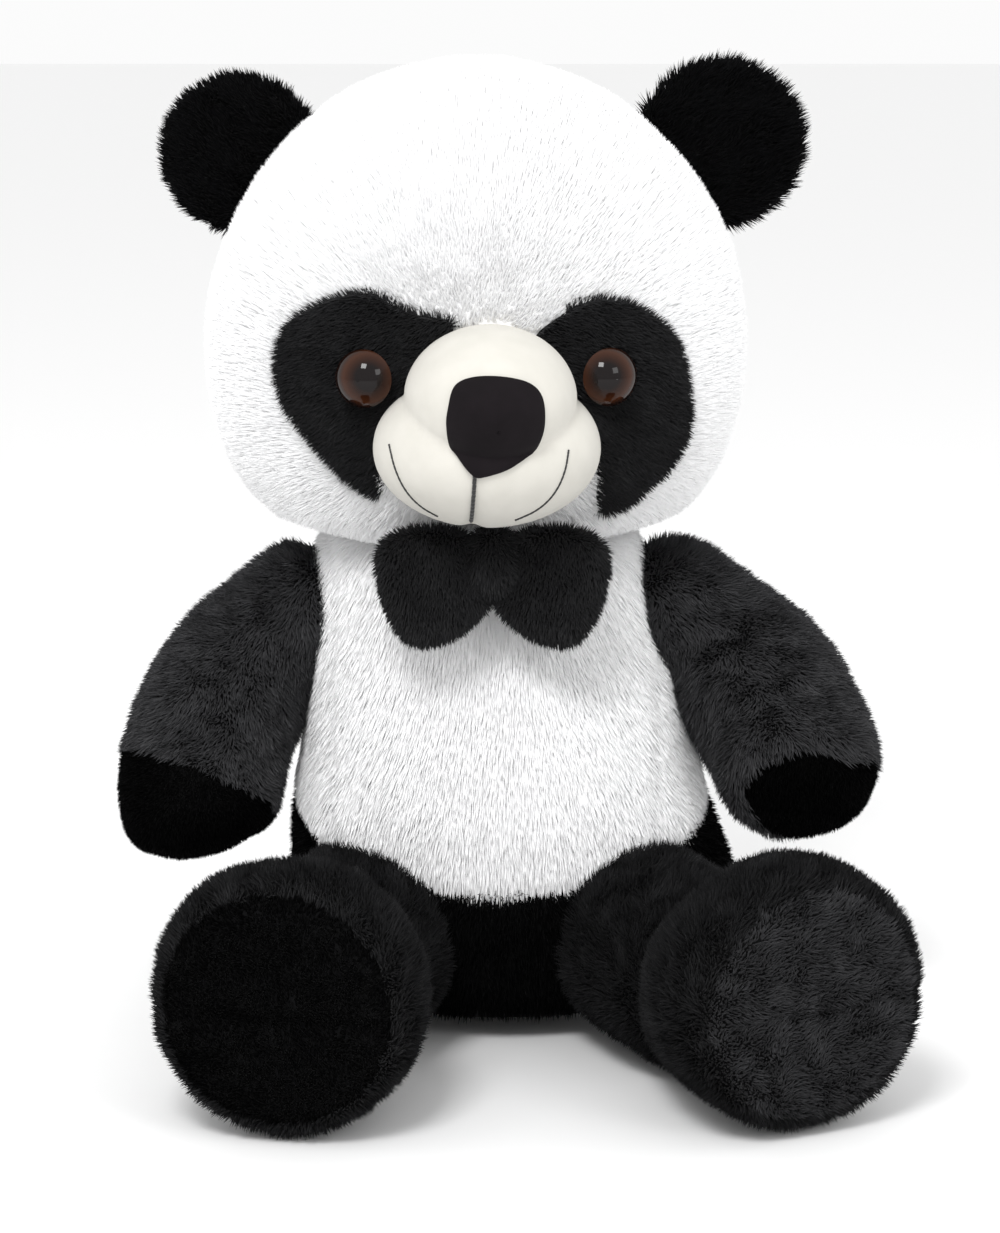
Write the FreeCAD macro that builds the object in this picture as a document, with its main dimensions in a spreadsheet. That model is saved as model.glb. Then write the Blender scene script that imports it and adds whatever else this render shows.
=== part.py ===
import FreeCAD, Part
import math
import os
from FreeCAD import Placement, Rotation, Vector

# Plush panda, sitting. Millimetres, +Z up, the face looks along -Y.
# The origin is the middle of the flat seat, on the surface that it sits on.
# "right" is the panda's own right side, at -X.

doc = FreeCAD.newDocument("plush_panda")
sheet = doc.addObject("Spreadsheet::Sheet", "dimensions")

DIMENSIONS = [
    ("fabric", 2.5, "thickness of the plush fabric with its backing"),
    ("ease", 0.4, "gap between fabric and filling"),
    ("joint_gap", 1.6, "gap between a limb's root and its socket"),
    ("head_half_width", 120.0, "head, half width"),
    ("head_half_depth", 97.0, "head, half depth"),
    ("head_half_height", 126.5, "head, half height of the full round"),
    ("head_centre_height", 293.0, "centre of the head above the seat"),
    ("head_shift", -8.0, "the head sits a little towards its right"),
    ("head_yaw", 3.0, "the face looks a little towards its left"),
    ("neck_height", 252.0, "point about which the head turns and nods"),
    ("neck_radius", 67.0, "round of filling that the head turns on"),
    ("neck_wad", 7.5, "thickness of the wad of filling in the neck"),
    ("neck_rim_height", 206.0, "top edge of the torso"),
    ("muzzle_half_width", 47.0, "cheeks of the muzzle, half width"),
    ("muzzle_half_height", 35.0, "cheeks of the muzzle, half height"),
    ("muzzle_half_depth", 48.0, "cheeks of the muzzle, half depth"),
    ("bridge_half_width", 33.0, "bridge of the muzzle, half width"),
    ("bridge_half_height", 29.0, "bridge of the muzzle, half height"),
    ("bridge_half_depth", 49.0, "bridge of the muzzle, half depth"),
    ("nose_half_width", 19.5, "flat nose, half width"),
    ("nose_half_height", 18.5, "flat nose, half height"),
    ("applique", 1.6, "thickness of a sewn-on flat piece"),
    ("thread", 0.7, "radius of the sewing thread"),
    ("patch_half_length", 40.0, "eye patch, half length"),
    ("patch_half_width", 33.0, "eye patch, half width"),
    ("eye_radius", 12.0, "domed safety eye"),
    ("eye_height", 7.5, "height of the dome"),
    ("eye_plate", 1.5, "thickness of the eye's back plate"),
    ("pupil_radius", 6.2, "black pupil"),
    ("shank_radius", 3.2, "ribbed shank behind the eye"),
    ("shank_length", 15.0, "length of the shank"),
    ("washer_radius", 9.0, "lock washer behind the fabric"),
    ("washer_thickness", 2.0, "thickness of the lock washer"),
    ("ear_radius", 37.0, "round ear"),
    ("ear_half_thickness", 9.0, "ear, half thickness"),
    ("ear_gap", 3.0, "room for the ear to bend at its seam"),
    ("shoulder_radius", 31.0, "root of the arm"),
    ("arm_radius", 37.0, "thickest part of the arm"),
    ("paw_radius", 25.0, "disc at the end of the arm"),
    ("hip_radius", 41.0, "root of the leg"),
    ("ankle_radius", 40.0, "thinnest part of the leg"),
    ("foot_radius", 54.5, "thickest part of the foot"),
    ("sole_radius", 46.0, "disc at the end of the foot"),
    ("leg_reach", 150.0, "hip to sole disc"),
    ("bow_half_width", 26.0, "lobe of the bow tie, half width"),
    ("bow_half_height", 24.0, "lobe of the bow tie, half height"),
    ("bow_half_thickness", 8.0, "lobe of the bow tie, half thickness"),
    ("knot_half_width", 8.0, "knot of the bow tie, half width"),
    ("knot_half_height", 15.0, "knot of the bow tie, half height"),
]
for row, (alias, value, note) in enumerate(DIMENSIONS, start=1):
    sheet.set(f"A{row}", note)
    sheet.set(f"B{row}", str(value))
    sheet.setAlias(f"B{row}", alias)
doc.recompute()

DRIVING = {alias: value for alias, value, note in DIMENSIONS}
FABRIC = DRIVING["fabric"]
EASE = DRIVING["ease"]
FILLING = -(FABRIC + EASE)

HUGE = 1000.0
SIDES = {"right": -1, "left": 1}

nodes = []


# ---- small makers ----

def cell(alias):
    """The number held in a named cell of the sheet."""
    return float(sheet.get(alias))


def bind(part, prop, expression, grow=0.0):
    """Tie a property to the sheet, with an offset for shells and fillings."""
    part.setExpression(prop, f"{expression} + {grow}")


def ellipsoid(name, frame, across, deep, tall, grow=0.0):
    """An ellipsoid with its half sizes in the sheet: across X, deep Y, tall Z."""
    part = doc.addObject("Part::Ellipsoid", name)
    bind(part, "Radius2", f"dimensions.{across}", grow)
    bind(part, "Radius3", f"dimensions.{deep}", grow)
    bind(part, "Radius1", f"dimensions.{tall}", grow)
    part.Placement = frame
    return part


def ball(name, centre, expression, grow=0.0):
    part = doc.addObject("Part::Sphere", name)
    bind(part, "Radius", expression, grow)
    part.Placement = Placement(centre, Rotation())
    return part


def block(name, corner, lengths, frame=Placement()):
    """A box from its lowest corner, in the given frame."""
    part = doc.addObject("Part::Box", name)
    part.Length, part.Width, part.Height = lengths
    part.Placement = frame.multiply(Placement(corner, Rotation()))
    return part


def rod(name, frame, expression, length, grow=0.0):
    """A cylinder along its frame's Z axis."""
    part = doc.addObject("Part::Cylinder", name)
    bind(part, "Radius", expression, grow)
    part.Height = length
    part.Placement = frame
    return part


def cut(name, base, tool):
    part = doc.addObject("Part::Cut", name)
    part.Base = base
    part.Tool = tool
    return part


def common(name, *shapes):
    part = doc.addObject("Part::MultiCommon", name)
    part.Shapes = list(shapes)
    return part


def fuse(name, *shapes):
    part = doc.addObject("Part::MultiFuse", name)
    part.Shapes = list(shapes)
    return part


def as_node(part, label):
    """Mark a finished sub-part: its label names its file."""
    part.Label = label
    nodes.append(part)
    return part


def split(body, stem, tool, inside_label, outside_label):
    """Divide a solid in two along the faces of a tool."""
    inside = as_node(common(f"{stem}_in", body, tool), inside_label)
    outside = as_node(cut(f"{stem}_out", body, tool), outside_label)
    return inside, outside


def tube(name, stations, grow=0.0):
    """A smooth solid through round sections: (centre, direction, radius expression) each."""
    rings = []
    for number, (centre, direction, expression) in enumerate(stations):
        ring = doc.addObject("Part::Circle", f"{name}_ring{number}")
        bind(ring, "Radius", expression, grow)
        ring.Placement = Placement(centre, Rotation(Vector(0, 0, 1), direction))
        rings.append(ring)
    part = doc.addObject("Part::Loft", name)
    part.Sections = rings
    part.Solid = True
    return part


# ---- frames shared by several sub-parts ----

head_frame = Placement(
    Vector(cell("head_shift"), 0, cell("head_centre_height")),
    Rotation(Vector(0, 0, 1), cell("head_yaw")),
)
neck_point = Vector(cell("head_shift"), 0, cell("neck_height"))


def in_head(x, y, z, rotation=Rotation()):
    """A frame given in the head's own axes."""
    return head_frame.multiply(Placement(Vector(x, y, z), rotation))


# ---- limbs: where they are sewn on, how they run and how thick they are ----

SHOULDERS = {"right": Vector(-85, -2, 176), "left": Vector(80, -2, 178)}
HIPS = {"right": Vector(-55, -60, 46), "left": Vector(62, -64, 46)}
ARM_POINTS = {
    "right": [SHOULDERS["right"], Vector(-111, -10, 150), Vector(-127, -26, 115), Vector(-127, -43, 75)],
    "left": [SHOULDERS["left"], Vector(108, -11, 153), Vector(126, -31, 127), Vector(132, -61, 104)],
}
ARM_SECTIONS = [
    # share of the way along the arm, radius as a share of the thickest part
    (0.30, 0.94),
    (0.58, 1.00),
    (0.80, 0.98),
    (0.93, 0.88),
    (1.00, 0.73),
]
LEG_TURNS = {"right": 12.0, "left": 26.0}
LEG_SECTIONS = [
    # share of the reach, radius, height of the middle
    (0.22, "dimensions.hip_radius * 0.99", 43.0),
    (0.46, "dimensions.ankle_radius", 42.0),
    (0.60, "dimensions.foot_radius * 0.86", 49.0),
    (0.74, "dimensions.foot_radius * 0.98", 55.0),
    (0.87, "dimensions.foot_radius", 55.5),
    (0.96, "dimensions.foot_radius * 0.95", 55.0),
    (1.00, "dimensions.sole_radius * 1.03", 54.5),
]
LEG_LIFT = 12.0
LEG_DROP = 6.0


def root_stations(centre, direction, expression, radius):
    """Sections of the round root, from its far end up to its middle."""
    stations = []
    for lean in (76, 50, 25):
        back = radius * math.sin(math.radians(lean))
        share = math.cos(math.radians(lean))
        stations.append((centre - direction * back, direction, f"{expression} * {share}"))
    stations.append((centre, direction, expression))
    return stations


def arm_stations(side):
    """Sections of an arm, from its root in the shoulder to its paw."""
    route = Part.BSplineCurve()
    route.interpolate(ARM_POINTS[side])
    first = route.FirstParameter
    span = route.LastParameter - first
    start = route.tangent(first)[0]
    stations = root_stations(SHOULDERS[side], start, "dimensions.shoulder_radius", cell("shoulder_radius"))
    for share, thickness in ARM_SECTIONS:
        at = first + span * share
        stations.append((route.value(at), route.tangent(at)[0], f"dimensions.arm_radius * {thickness}"))
    return stations


def leg_stations(side, lift=0.0):
    """Sections of a leg, from its root in the hip to its sole, lifted by an angle."""
    angle = math.radians(LEG_TURNS[side])
    ahead = Vector(SIDES[side] * math.sin(angle), -math.cos(angle), 0)
    hip = HIPS[side]
    stations = root_stations(hip, ahead, "dimensions.hip_radius", cell("hip_radius"))
    for share, expression, height in LEG_SECTIONS:
        centre = hip + ahead * (share * cell("leg_reach"))
        centre.z = height
        stations.append((centre, ahead, expression))
    raised = Rotation(ahead.cross(Vector(0, 0, 1)), lift)
    return [(hip + raised.multVec(c - hip), raised.multVec(d), e) for c, d, e in stations]


# ---- torso: white upper and black seat, each a front and two side-back panels ----

TORSO_SECTIONS = [
    # height, middle x, middle y, half width, half depth
    (0.0, 2.0, -2.0, 66.0, 54.0),
    (7.0, 2.0, -3.0, 80.0, 68.0),
    (25.0, 2.0, -5.0, 90.0, 79.0),
    (55.0, 2.0, -7.0, 93.5, 84.0),
    (95.0, 2.0, -7.0, 92.0, 85.0),
    (130.0, 1.0, -5.0, 86.5, 79.0),
    (165.0, -3.0, -2.0, 80.0, 73.0),
    (190.0, -6.0, 0.0, 77.0, 71.0),
    (206.0, -7.0, 0.0, 75.5, 70.0),
]
BELLY_PANEL_HALF_WIDTH = 69.0
SEAT_SEAM_Y = -6.0
WAIST_RADIUS = 310.0
WAIST_CENTRE = Vector(-HUGE / 2, 109.0, -168.0)
ARM_PRESS = 7.0
LEG_PRESS = 8.0

def torso_form(name, grow=0.0, lift=0.0):
    """The torso's outer form, or the same form drawn inwards."""
    rings = []
    last = len(TORSO_SECTIONS) - 1
    for number, (height, x, y, half_width, half_depth) in enumerate(TORSO_SECTIONS):
        ring = doc.addObject("Part::Ellipse", f"{name}_ring{number}")
        ring.MajorRadius = half_width + grow
        ring.MinorRadius = half_depth + grow
        rise = lift if number == 0 else 0.0
        ring.Placement = Placement(Vector(x, y, height + rise), Rotation())
        rings.append(ring)
    form = doc.addObject("Part::Loft", name)
    form.Sections = rings
    form.Solid = True
    return form


def roots(name, extra=0.0):
    """The round sockets of the neck and of the four limbs."""
    gap = f"dimensions.joint_gap + {extra}"
    balls = [ball(f"{name}_neck", neck_point, f"dimensions.neck_radius + dimensions.neck_wad + {gap}")]
    for side in SIDES:
        balls.append(ball(f"{name}_{side}_shoulder", SHOULDERS[side], f"dimensions.shoulder_radius + {gap}"))
        balls.append(ball(f"{name}_{side}_hip", HIPS[side], f"dimensions.hip_radius + {gap}"))
    return balls


def arm_dents(name, extra=0.0):
    """Where the hanging arms press the torso in."""
    balls = []
    for side in SIDES:
        for number, (centre, direction, expression) in enumerate(arm_stations(side)[4:7]):
            balls.append(ball(f"{name}_{side}_arm{number}", centre, expression, ARM_PRESS + extra))
    return balls


def dents(name, extra=0.0):
    """Where the arms and the legs, over their whole travel, press the torso in."""
    balls = arm_dents(name, extra)
    for side in SIDES:
        for stage, lift in enumerate((-LEG_DROP, 0.0, LEG_LIFT)):
            for number, (centre, direction, expression) in enumerate(leg_stations(side, lift)[4:6]):
                balls.append(ball(f"{name}_{side}_leg{number}_{stage}", centre, expression, LEG_PRESS + extra))
    return balls


def cut_all(name, body, tools):
    """Take several tools out of a body, one after another."""
    for number, tool in enumerate(tools):
        body = cut(f"{name}{number}", body, tool)
    return body


torso_outer = cut_all("torso_outer", torso_form("torso_round"), dents("outer_dents"))
torso_hollow = cut_all("torso_hollow", torso_form("hollow_round", -FABRIC, FABRIC), dents("hollow_dents", FABRIC))
torso_wall = cut("torso_wall", torso_outer, torso_hollow)
torso_skin = cut_all("torso_skin", torso_wall, roots("skin_roots"))

waist = doc.addObject("Part::Cylinder", "waist")
waist.Radius = WAIST_RADIUS
waist.Height = HUGE
waist.Placement = Placement(WAIST_CENTRE, Rotation(Vector(0, 1, 0), 90))

belly_strip = block(
    "belly_strip", Vector(-BELLY_PANEL_HALF_WIDTH, -HUGE, -HUGE / 2), (2 * BELLY_PANEL_HALF_WIDTH, HUGE, HUGE)
)
belly_slot = cut_all("belly_slot", belly_strip, arm_dents("belly_dents", 2 * FABRIC))
front_half = block("front_half", Vector(-HUGE / 2, -HUGE, -HUGE / 2), (HUGE, HUGE + SEAT_SEAM_Y, HUGE))
right_half = block("right_half", Vector(-HUGE, -HUGE / 2, -HUGE / 2), (HUGE, HUGE, HUGE))

upper_skin = cut("upper_skin", torso_skin, waist)
seat_skin = common("seat_skin", torso_skin, waist)
for name, shell, front in (("torso", upper_skin, belly_slot), ("seat", seat_skin, front_half)):
    as_node(common(f"{name}_front_cut", shell, front), f"{name}_front_panel")
    rest = cut(f"{name}_rest", shell, front)
    split(rest, f"{name}_side", right_half, f"{name}_right_panel", f"{name}_left_panel")

torso_core = cut_all("torso_core", torso_form("core_round", FILLING, -FILLING), dents("core_dents", -FILLING))
as_node(cut_all("torso_fill", torso_core, roots("fill_roots", EASE)), "torso_stuffing")

# Hand-sewn ladder stitches that close the back seam after filling.
STITCH_COUNT = 9
STITCH_FIRST = 62.0
STITCH_STEP = 6.0
STITCH_LENGTH = 9.0
STITCH_DEPTH_AT_BACK = 78.4

stitches = []
for number in range(STITCH_COUNT):
    height = STITCH_FIRST + number * STITCH_STEP
    place = Placement(
        Vector(-STITCH_LENGTH / 2, STITCH_DEPTH_AT_BACK, height),
        Rotation(Vector(0, 1, 0), 90),
    )
    stitches.append(rod(f"stitch{number}", place, "dimensions.thread", STITCH_LENGTH))
as_node(cut("back_stitches", fuse("stitch_row", *stitches), torso_outer), "back_closing_stitches")

# ---- neck: the wad of filling in the neck opening, on which the head turns ----

neck_outer = ball("neck_outer", neck_point, "dimensions.neck_radius + dimensions.neck_wad")
neck_inner = ball("neck_inner", neck_point, "dimensions.neck_radius + dimensions.joint_gap")
below_rim = block(
    "below_rim",
    Vector(-HUGE / 2, -HUGE / 2, cell("neck_rim_height") - HUGE),
    (HUGE, HUGE, HUGE),
)
as_node(common("neck_cup", cut("neck_shell", neck_outer, neck_inner), below_rim), "neck_stuffing")

# ---- head: front and back fabric over one filling ----

BRIM_DROP = -70.0
BRIM_TILT = 6.5
EAR_SEAM_DEPTH = 6.0
EYE_X = 49.0
EYE_Z = -3.0
EYE_TURN = 18.0


def head_form(name, grow=0.0):
    return ellipsoid(
        name, in_head(0, 0, 0), "head_half_width", "head_half_depth", "head_half_height", grow
    )


def muzzle_form(name, grow=0.0):
    """Cheeks and bridge of the muzzle in one form."""
    cheeks = ellipsoid(
        f"{name}_cheeks", in_head(0, -92, -29),
        "muzzle_half_width", "muzzle_half_depth", "muzzle_half_height", grow,
    )
    bridge = ellipsoid(
        f"{name}_bridge", in_head(1, -100, -8),
        "bridge_half_width", "bridge_half_depth", "bridge_half_height", grow,
    )
    return fuse(name, cheeks, bridge)


def eye_place(side, depth):
    """A frame on the eye's axis, its Z axis pointing out of the face."""
    turn = Rotation(Vector(0, 0, 1), SIDES[side] * EYE_TURN)
    out = turn.multiply(Rotation(Vector(1, 0, 0), 90))
    across = EYE_X / cell("head_half_width")
    surface = cell("head_half_depth") * math.sqrt(1 - across * across)
    seat = in_head(SIDES[side] * EYE_X, -surface, EYE_Z, out)
    return seat.multiply(Placement(Vector(0, 0, depth), Rotation()))


above_brim = block(
    "above_brim", Vector(-HUGE / 2, -HUGE / 2, BRIM_DROP), (HUGE, HUGE, HUGE),
    in_head(0, 0, 0, Rotation(Vector(1, 0, 0), BRIM_TILT)),
)
head_wall = common(
    "head_wall", cut("head_shell", head_form("head_outer"), head_form("head_hollow", -FABRIC)), above_brim
)

eye_holes = []
eye_pockets = []
for side in SIDES:
    eye_holes.append(rod(f"{side}_eye_hole", eye_place(side, -30), "dimensions.shank_radius", 60, EASE))
    eye_pockets.append(rod(f"{side}_eye_pocket", eye_place(side, -18), "dimensions.washer_radius", 40, EASE))
neck_opening = ball("neck_opening", neck_point, "dimensions.neck_radius", EASE)
head_skin = cut("head_skin", head_wall, fuse("head_openings", neck_opening, *eye_holes))

in_front = block(
    "in_front", Vector(-HUGE / 2, EAR_SEAM_DEPTH - HUGE, -HUGE / 2), (HUGE, HUGE, HUGE), in_head(0, 0, 0)
)
split(head_skin, "head_panels", in_front, "head_front_panel", "head_back_panel")

head_core = common("head_core", head_form("head_fill_round", FILLING), above_brim)
neck_round = ball("neck_round", neck_point, "dimensions.neck_radius")
below_brim = cut("neck_stump", neck_round, above_brim)
head_fill = fuse("head_fill", head_core, below_brim)
as_node(cut("head_fill_cut", head_fill, fuse("eye_room", *eye_pockets)), "head_stuffing")

# ---- muzzle: smooth cream fabric over its own filling ----

face = head_form("face", EASE)
muzzle_body = cut("muzzle_body", muzzle_form("muzzle_outer"), face)
as_node(cut("muzzle_skin", muzzle_body, muzzle_form("muzzle_hollow", -FABRIC)), "muzzle_cover")
as_node(cut("muzzle_fill", muzzle_form("muzzle_core", FILLING), face), "muzzle_stuffing")


def muzzle_layer(name):
    """A thin layer that lies on the muzzle."""
    outer = muzzle_form(f"{name}_outer", DRIVING["applique"])
    inner = muzzle_form(f"{name}_inner", EASE / 2)
    return cut(name, outer, inner)


def face_prism(name, x, z, half_long, half_short, turn=0.0):
    """An oval prism through the face, along the head's Y axis."""
    oval = doc.addObject("Part::Ellipse", f"{name}_oval")
    bind(oval, "MajorRadius", f"dimensions.{half_long}")
    bind(oval, "MinorRadius", f"dimensions.{half_short}")
    lying = Rotation(Vector(1, 0, 0), 90)
    spin = Rotation(Vector(0, 1, 0), turn)
    oval.Placement = in_head(x, 0, z, spin.multiply(lying))
    prism = doc.addObject("Part::Extrusion", name)
    prism.Base = oval
    prism.Dir = head_frame.Rotation.multVec(Vector(0, -1, 0))
    prism.DirMode = "Custom"
    prism.LengthFwd = HUGE / 2
    prism.Solid = True
    return prism


NOSE_X = 0.0
NOSE_Z = -16.0
nose_prism = face_prism("nose_prism", NOSE_X, NOSE_Z, "nose_half_width", "nose_half_height")
nose_front = block("nose_front", Vector(-60, -HUGE, -60), (120, HUGE - 115, 120), in_head(0, 0, 0))
as_node(common("nose_piece", muzzle_layer("nose_layer"), nose_prism, nose_front), "nose")

# Embroidered mouth: one upright line under the nose and a smile line on each cheek.
SMILE_Z = -29.0
SMILE_RADIUS = 36.0
LINE_TOP = NOSE_Z - 18.9
LINE_BOTTOM = -61.0

lying_back = Rotation(Vector(1, 0, 0), 90)
upright = block(
    "mouth_upright", Vector(-cell("thread"), -HUGE, LINE_BOTTOM),
    (2 * cell("thread"), HUGE - 100, LINE_TOP - LINE_BOTTOM), in_head(0, 0, 0),
)
smile_rim = doc.addObject("Part::Cylinder", "smile_rim")
smile_rim.Radius = SMILE_RADIUS + cell("thread")
smile_core = doc.addObject("Part::Cylinder", "smile_core")
smile_core.Radius = SMILE_RADIUS - cell("thread")
for disc in (smile_rim, smile_core):
    disc.Height = HUGE / 2
    disc.Placement = in_head(0, -95, SMILE_Z, lying_back)
smile_ring = cut("smile_ring", smile_rim, smile_core)
smile_parts = []
for side, sign in SIDES.items():
    x = -50.0 if sign < 0 else 10.0
    smile_parts.append(block(f"smile_{side}", Vector(x, -HUGE, -57), (40, HUGE, 31), in_head(0, 0, 0)))
smile = common("smile", smile_ring, fuse("smile_reach", *smile_parts))
mouth_lines = fuse("mouth_lines", upright, smile)
as_node(common("mouth", muzzle_layer("mouth_layer"), mouth_lines), "mouth_stitches")

# ---- eye patches: black plush laid on the face and sewn round the edge ----

PATCH_X = 55.5
PATCH_Z = -12.0
PATCH_TURN = {"right": 62.0, "left": 118.0}

patch_layer = cut(
    "patch_layer", head_form("patch_top", DRIVING["applique"] + EASE), head_form("patch_bed", EASE)
)
muzzle_room = muzzle_form("muzzle_room", EASE)
for side, sign in SIDES.items():
    prism = face_prism(
        f"{side}_patch_prism", sign * PATCH_X, PATCH_Z,
        "patch_half_length", "patch_half_width", PATCH_TURN[side],
    )
    piece = common(f"{side}_patch_piece", patch_layer, prism)
    room = fuse(f"{side}_patch_room", muzzle_room, eye_holes[list(SIDES).index(side)])
    as_node(cut(f"{side}_patch_cut", piece, room), f"{side}_eye_patch")

# ---- safety eyes: dome, pupil, shank with its plate, and lock washer ----

PLATE_LIFT = 3.4
PUPIL_DEPTH = 1.0


def axis_plane(body, role):
    """One of a body's own origin planes."""
    return next(plane for plane in body.Origin.OriginFeatures if plane.Role == role)


def turned_body(name, outline, placement):
    """A body turned about its Z axis from a closed outline of (radius, height) points."""
    body = doc.addObject("PartDesign::Body", name)
    sketch = body.newObject("Sketcher::SketchObject", f"{name}_profile")
    sketch.AttachmentSupport = [(axis_plane(body, "XZ_Plane"), "")]
    sketch.MapMode = "FlatFace"
    corners = [Vector(radius, height, 0) for radius, height in outline]
    for start, end in zip(corners, corners[1:] + corners[:1]):
        sketch.addGeometry(Part.LineSegment(start, end), False)
    turn = body.newObject("PartDesign::Revolution", f"{name}_turn")
    turn.Profile = sketch
    turn.ReferenceAxis = (sketch, ["V_Axis"])
    turn.Angle = 360
    doc.recompute()
    body.Placement = placement
    return body


def dome_body(name, placement):
    """The clear dome: a round cap with a recess behind it for the pupil."""
    cap_radius = (cell("eye_radius") ** 2 + cell("eye_height") ** 2) / (2 * cell("eye_height"))
    globe = ball(f"{name}_globe", Vector(), f"{cap_radius}")
    globe.Placement = placement.multiply(Placement(Vector(0, 0, cell("eye_height") - cap_radius), Rotation()))
    column = rod(f"{name}_column", placement, "dimensions.eye_radius", 2 * cell("eye_height"), 1.0)
    recess = rod(f"{name}_recess", placement, "dimensions.pupil_radius", PUPIL_DEPTH)
    return cut(name, common(f"{name}_cap", globe, column), recess)


for side in SIDES:
    base = eye_place(side, PLATE_LIFT + cell("eye_plate"))
    as_node(dome_body(f"{side}_dome", base), f"{side}_eye_dome")
    as_node(rod(f"{side}_pupil", base, "dimensions.pupil_radius", PUPIL_DEPTH), f"{side}_eye_pupil")
    plate = cell("eye_plate")
    shank = cell("shank_radius")
    length = cell("shank_length")
    rib = 0.5
    outline = [(0, 0), (0, plate + length), (shank - rib, plate + length)]
    for number in range(5):
        height = plate + length - 2 - number * 2
        outline.append((shank, height))
        outline.append((shank - rib, height - 1))
    outline.extend([(shank - rib, plate), (cell("eye_radius") - 0.5, plate), (cell("eye_radius"), 0)])
    flipped = base.multiply(Placement(Vector(), Rotation(Vector(1, 0, 0), 180)))
    as_node(turned_body(f"{side}_shank", outline, flipped), f"{side}_eye_shank")
    bore = shank + 0.05
    washer = cell("washer_radius")
    thick = cell("washer_thickness")
    ring = [(bore, 0), (bore, thick), (washer - 2, thick), (washer, thick / 2), (washer, 0)]
    as_node(turned_body(f"{side}_washer", ring, eye_place(side, -9.0)), f"{side}_eye_washer")

# ---- ears: front and back fabric round a thin filling ----

EAR_CENTRES = {"right": (-101.0, 82.0), "left": (106.0, 86.0)}
EAR_DEPTH = 8.0
EAR_EDGE_SEAM = 8.6
ear_clearance = head_form("ear_clearance", DRIVING["ear_gap"])


def ear_form(name, side, grow=0.0):
    x, z = EAR_CENTRES[side]
    return ellipsoid(name, in_head(x, EAR_DEPTH, z), "ear_radius", "ear_half_thickness", "ear_radius", grow)


for side in SIDES:
    whole = cut(f"{side}_ear_whole", ear_form(f"{side}_ear_outer", side), ear_clearance)
    skin = cut(f"{side}_ear_skin", whole, ear_form(f"{side}_ear_hollow", side, -FABRIC))
    ahead = block(
        f"{side}_ear_ahead", Vector(-HUGE / 2, EAR_EDGE_SEAM - HUGE, -HUGE / 2), (HUGE, HUGE, HUGE),
        in_head(0, 0, 0),
    )
    split(skin, f"{side}_ear", ahead, f"{side}_ear_front", f"{side}_ear_back")
    pad = cut(f"{side}_ear_pad", ear_form(f"{side}_ear_core", side, FILLING), ear_clearance)
    as_node(pad, f"{side}_ear_stuffing")


# ---- limbs: two sewn panels and an end disc round each filling ----

def limb_ends(stations, shorten):
    """The same sections with the first and last drawn in along the limb."""
    first = stations[0]
    last = stations[-1]
    moved_first = (first[0] + first[1] * shorten, first[1], first[2])
    moved_last = (last[0] - last[1] * shorten, last[1], last[2])
    return [moved_first] + stations[1:-1] + [moved_last]


def limb(stem, stations, splitter, panel_labels, disc_label, disc_radius):
    """A stuffed limb: two panels, its end disc and its filling."""
    outer = tube(f"{stem}_outer", stations)
    hollow = tube(f"{stem}_hollow", limb_ends(stations, FABRIC), -FABRIC)
    end, direction, radius_text = stations[-1]
    disc_frame = Placement(end - direction * FABRIC, Rotation(Vector(0, 0, 1), direction))
    disc_room = rod(f"{stem}_disc_room", disc_frame, disc_radius, FABRIC * 4, EASE)
    disc_tool = rod(f"{stem}_disc_tool", disc_frame, disc_radius, FABRIC)
    skin = cut(f"{stem}_skin", cut(f"{stem}_wall", outer, hollow), disc_room)
    split(skin, f"{stem}_panels", splitter, *panel_labels)
    as_node(disc_tool, disc_label)
    as_node(tube(f"{stem}_core", limb_ends(stations, -FILLING), FILLING), f"{stem}_stuffing")


ARM_SEAM_TURN = {"right": -25.0, "left": -40.0}

for side in SIDES:
    behind = block(
        f"{side}_arm_behind", Vector(-HUGE / 2, 0, -HUGE / 2), (HUGE, HUGE, HUGE),
        Placement(ARM_POINTS[side][2], Rotation(Vector(1, 0, 0), ARM_SEAM_TURN[side])),
    )
    limb(
        f"{side}_arm", arm_stations(side), behind, (f"{side}_arm_back_panel", f"{side}_arm_front_panel"),
        f"{side}_paw_disc", "dimensions.paw_radius",
    )
    upper_half = block(
        f"{side}_leg_upper", Vector(-HUGE / 2, -HUGE / 2, cell("foot_radius") - 3), (HUGE, HUGE, HUGE)
    )
    limb(
        f"{side}_leg", leg_stations(side), upper_half, (f"{side}_leg_upper_panel", f"{side}_leg_lower_panel"),
        f"{side}_sole_disc", "dimensions.sole_radius",
    )

# ---- bow tie: two padded lobes gathered into a knot, sewn on under the chin ----

BOW_MIDDLE = Vector(-1, -91, 200)
BOW_REACH = 25.0
BOW_DROOP = 24.0

KNOT_RISE = 4.0
KNOT_TURN = 12.0


def knot_form(name, grow=0.0):
    frame = Placement(BOW_MIDDLE + Vector(0, -1, KNOT_RISE), Rotation(Vector(0, 0, 1), KNOT_TURN))
    return ellipsoid(name, frame, "knot_half_width", "bow_half_thickness", "knot_half_height", grow)


knot = knot_form("knot_round")
knot_room = knot_form("knot_room", EASE)
as_node(knot, "bow_knot")
for side, sign in SIDES.items():
    outward = Rotation(Vector(0, 0, 1), 90 - sign * 90)
    lean = Rotation(Vector(0, 1, 0), sign * BOW_DROOP).multiply(outward)
    lobe = ellipsoid(
        f"{side}_lobe",
        Placement(BOW_MIDDLE + Vector(sign * BOW_REACH, 0, -3), lean),
        "bow_half_width", "bow_half_thickness", "bow_half_height",
    )
    as_node(cut(f"{side}_lobe_cut", lobe, knot_room), f"bow_{side}_lobe")

# ---- check everything, then write one file for each sub-part ----

doc.recompute()

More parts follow.
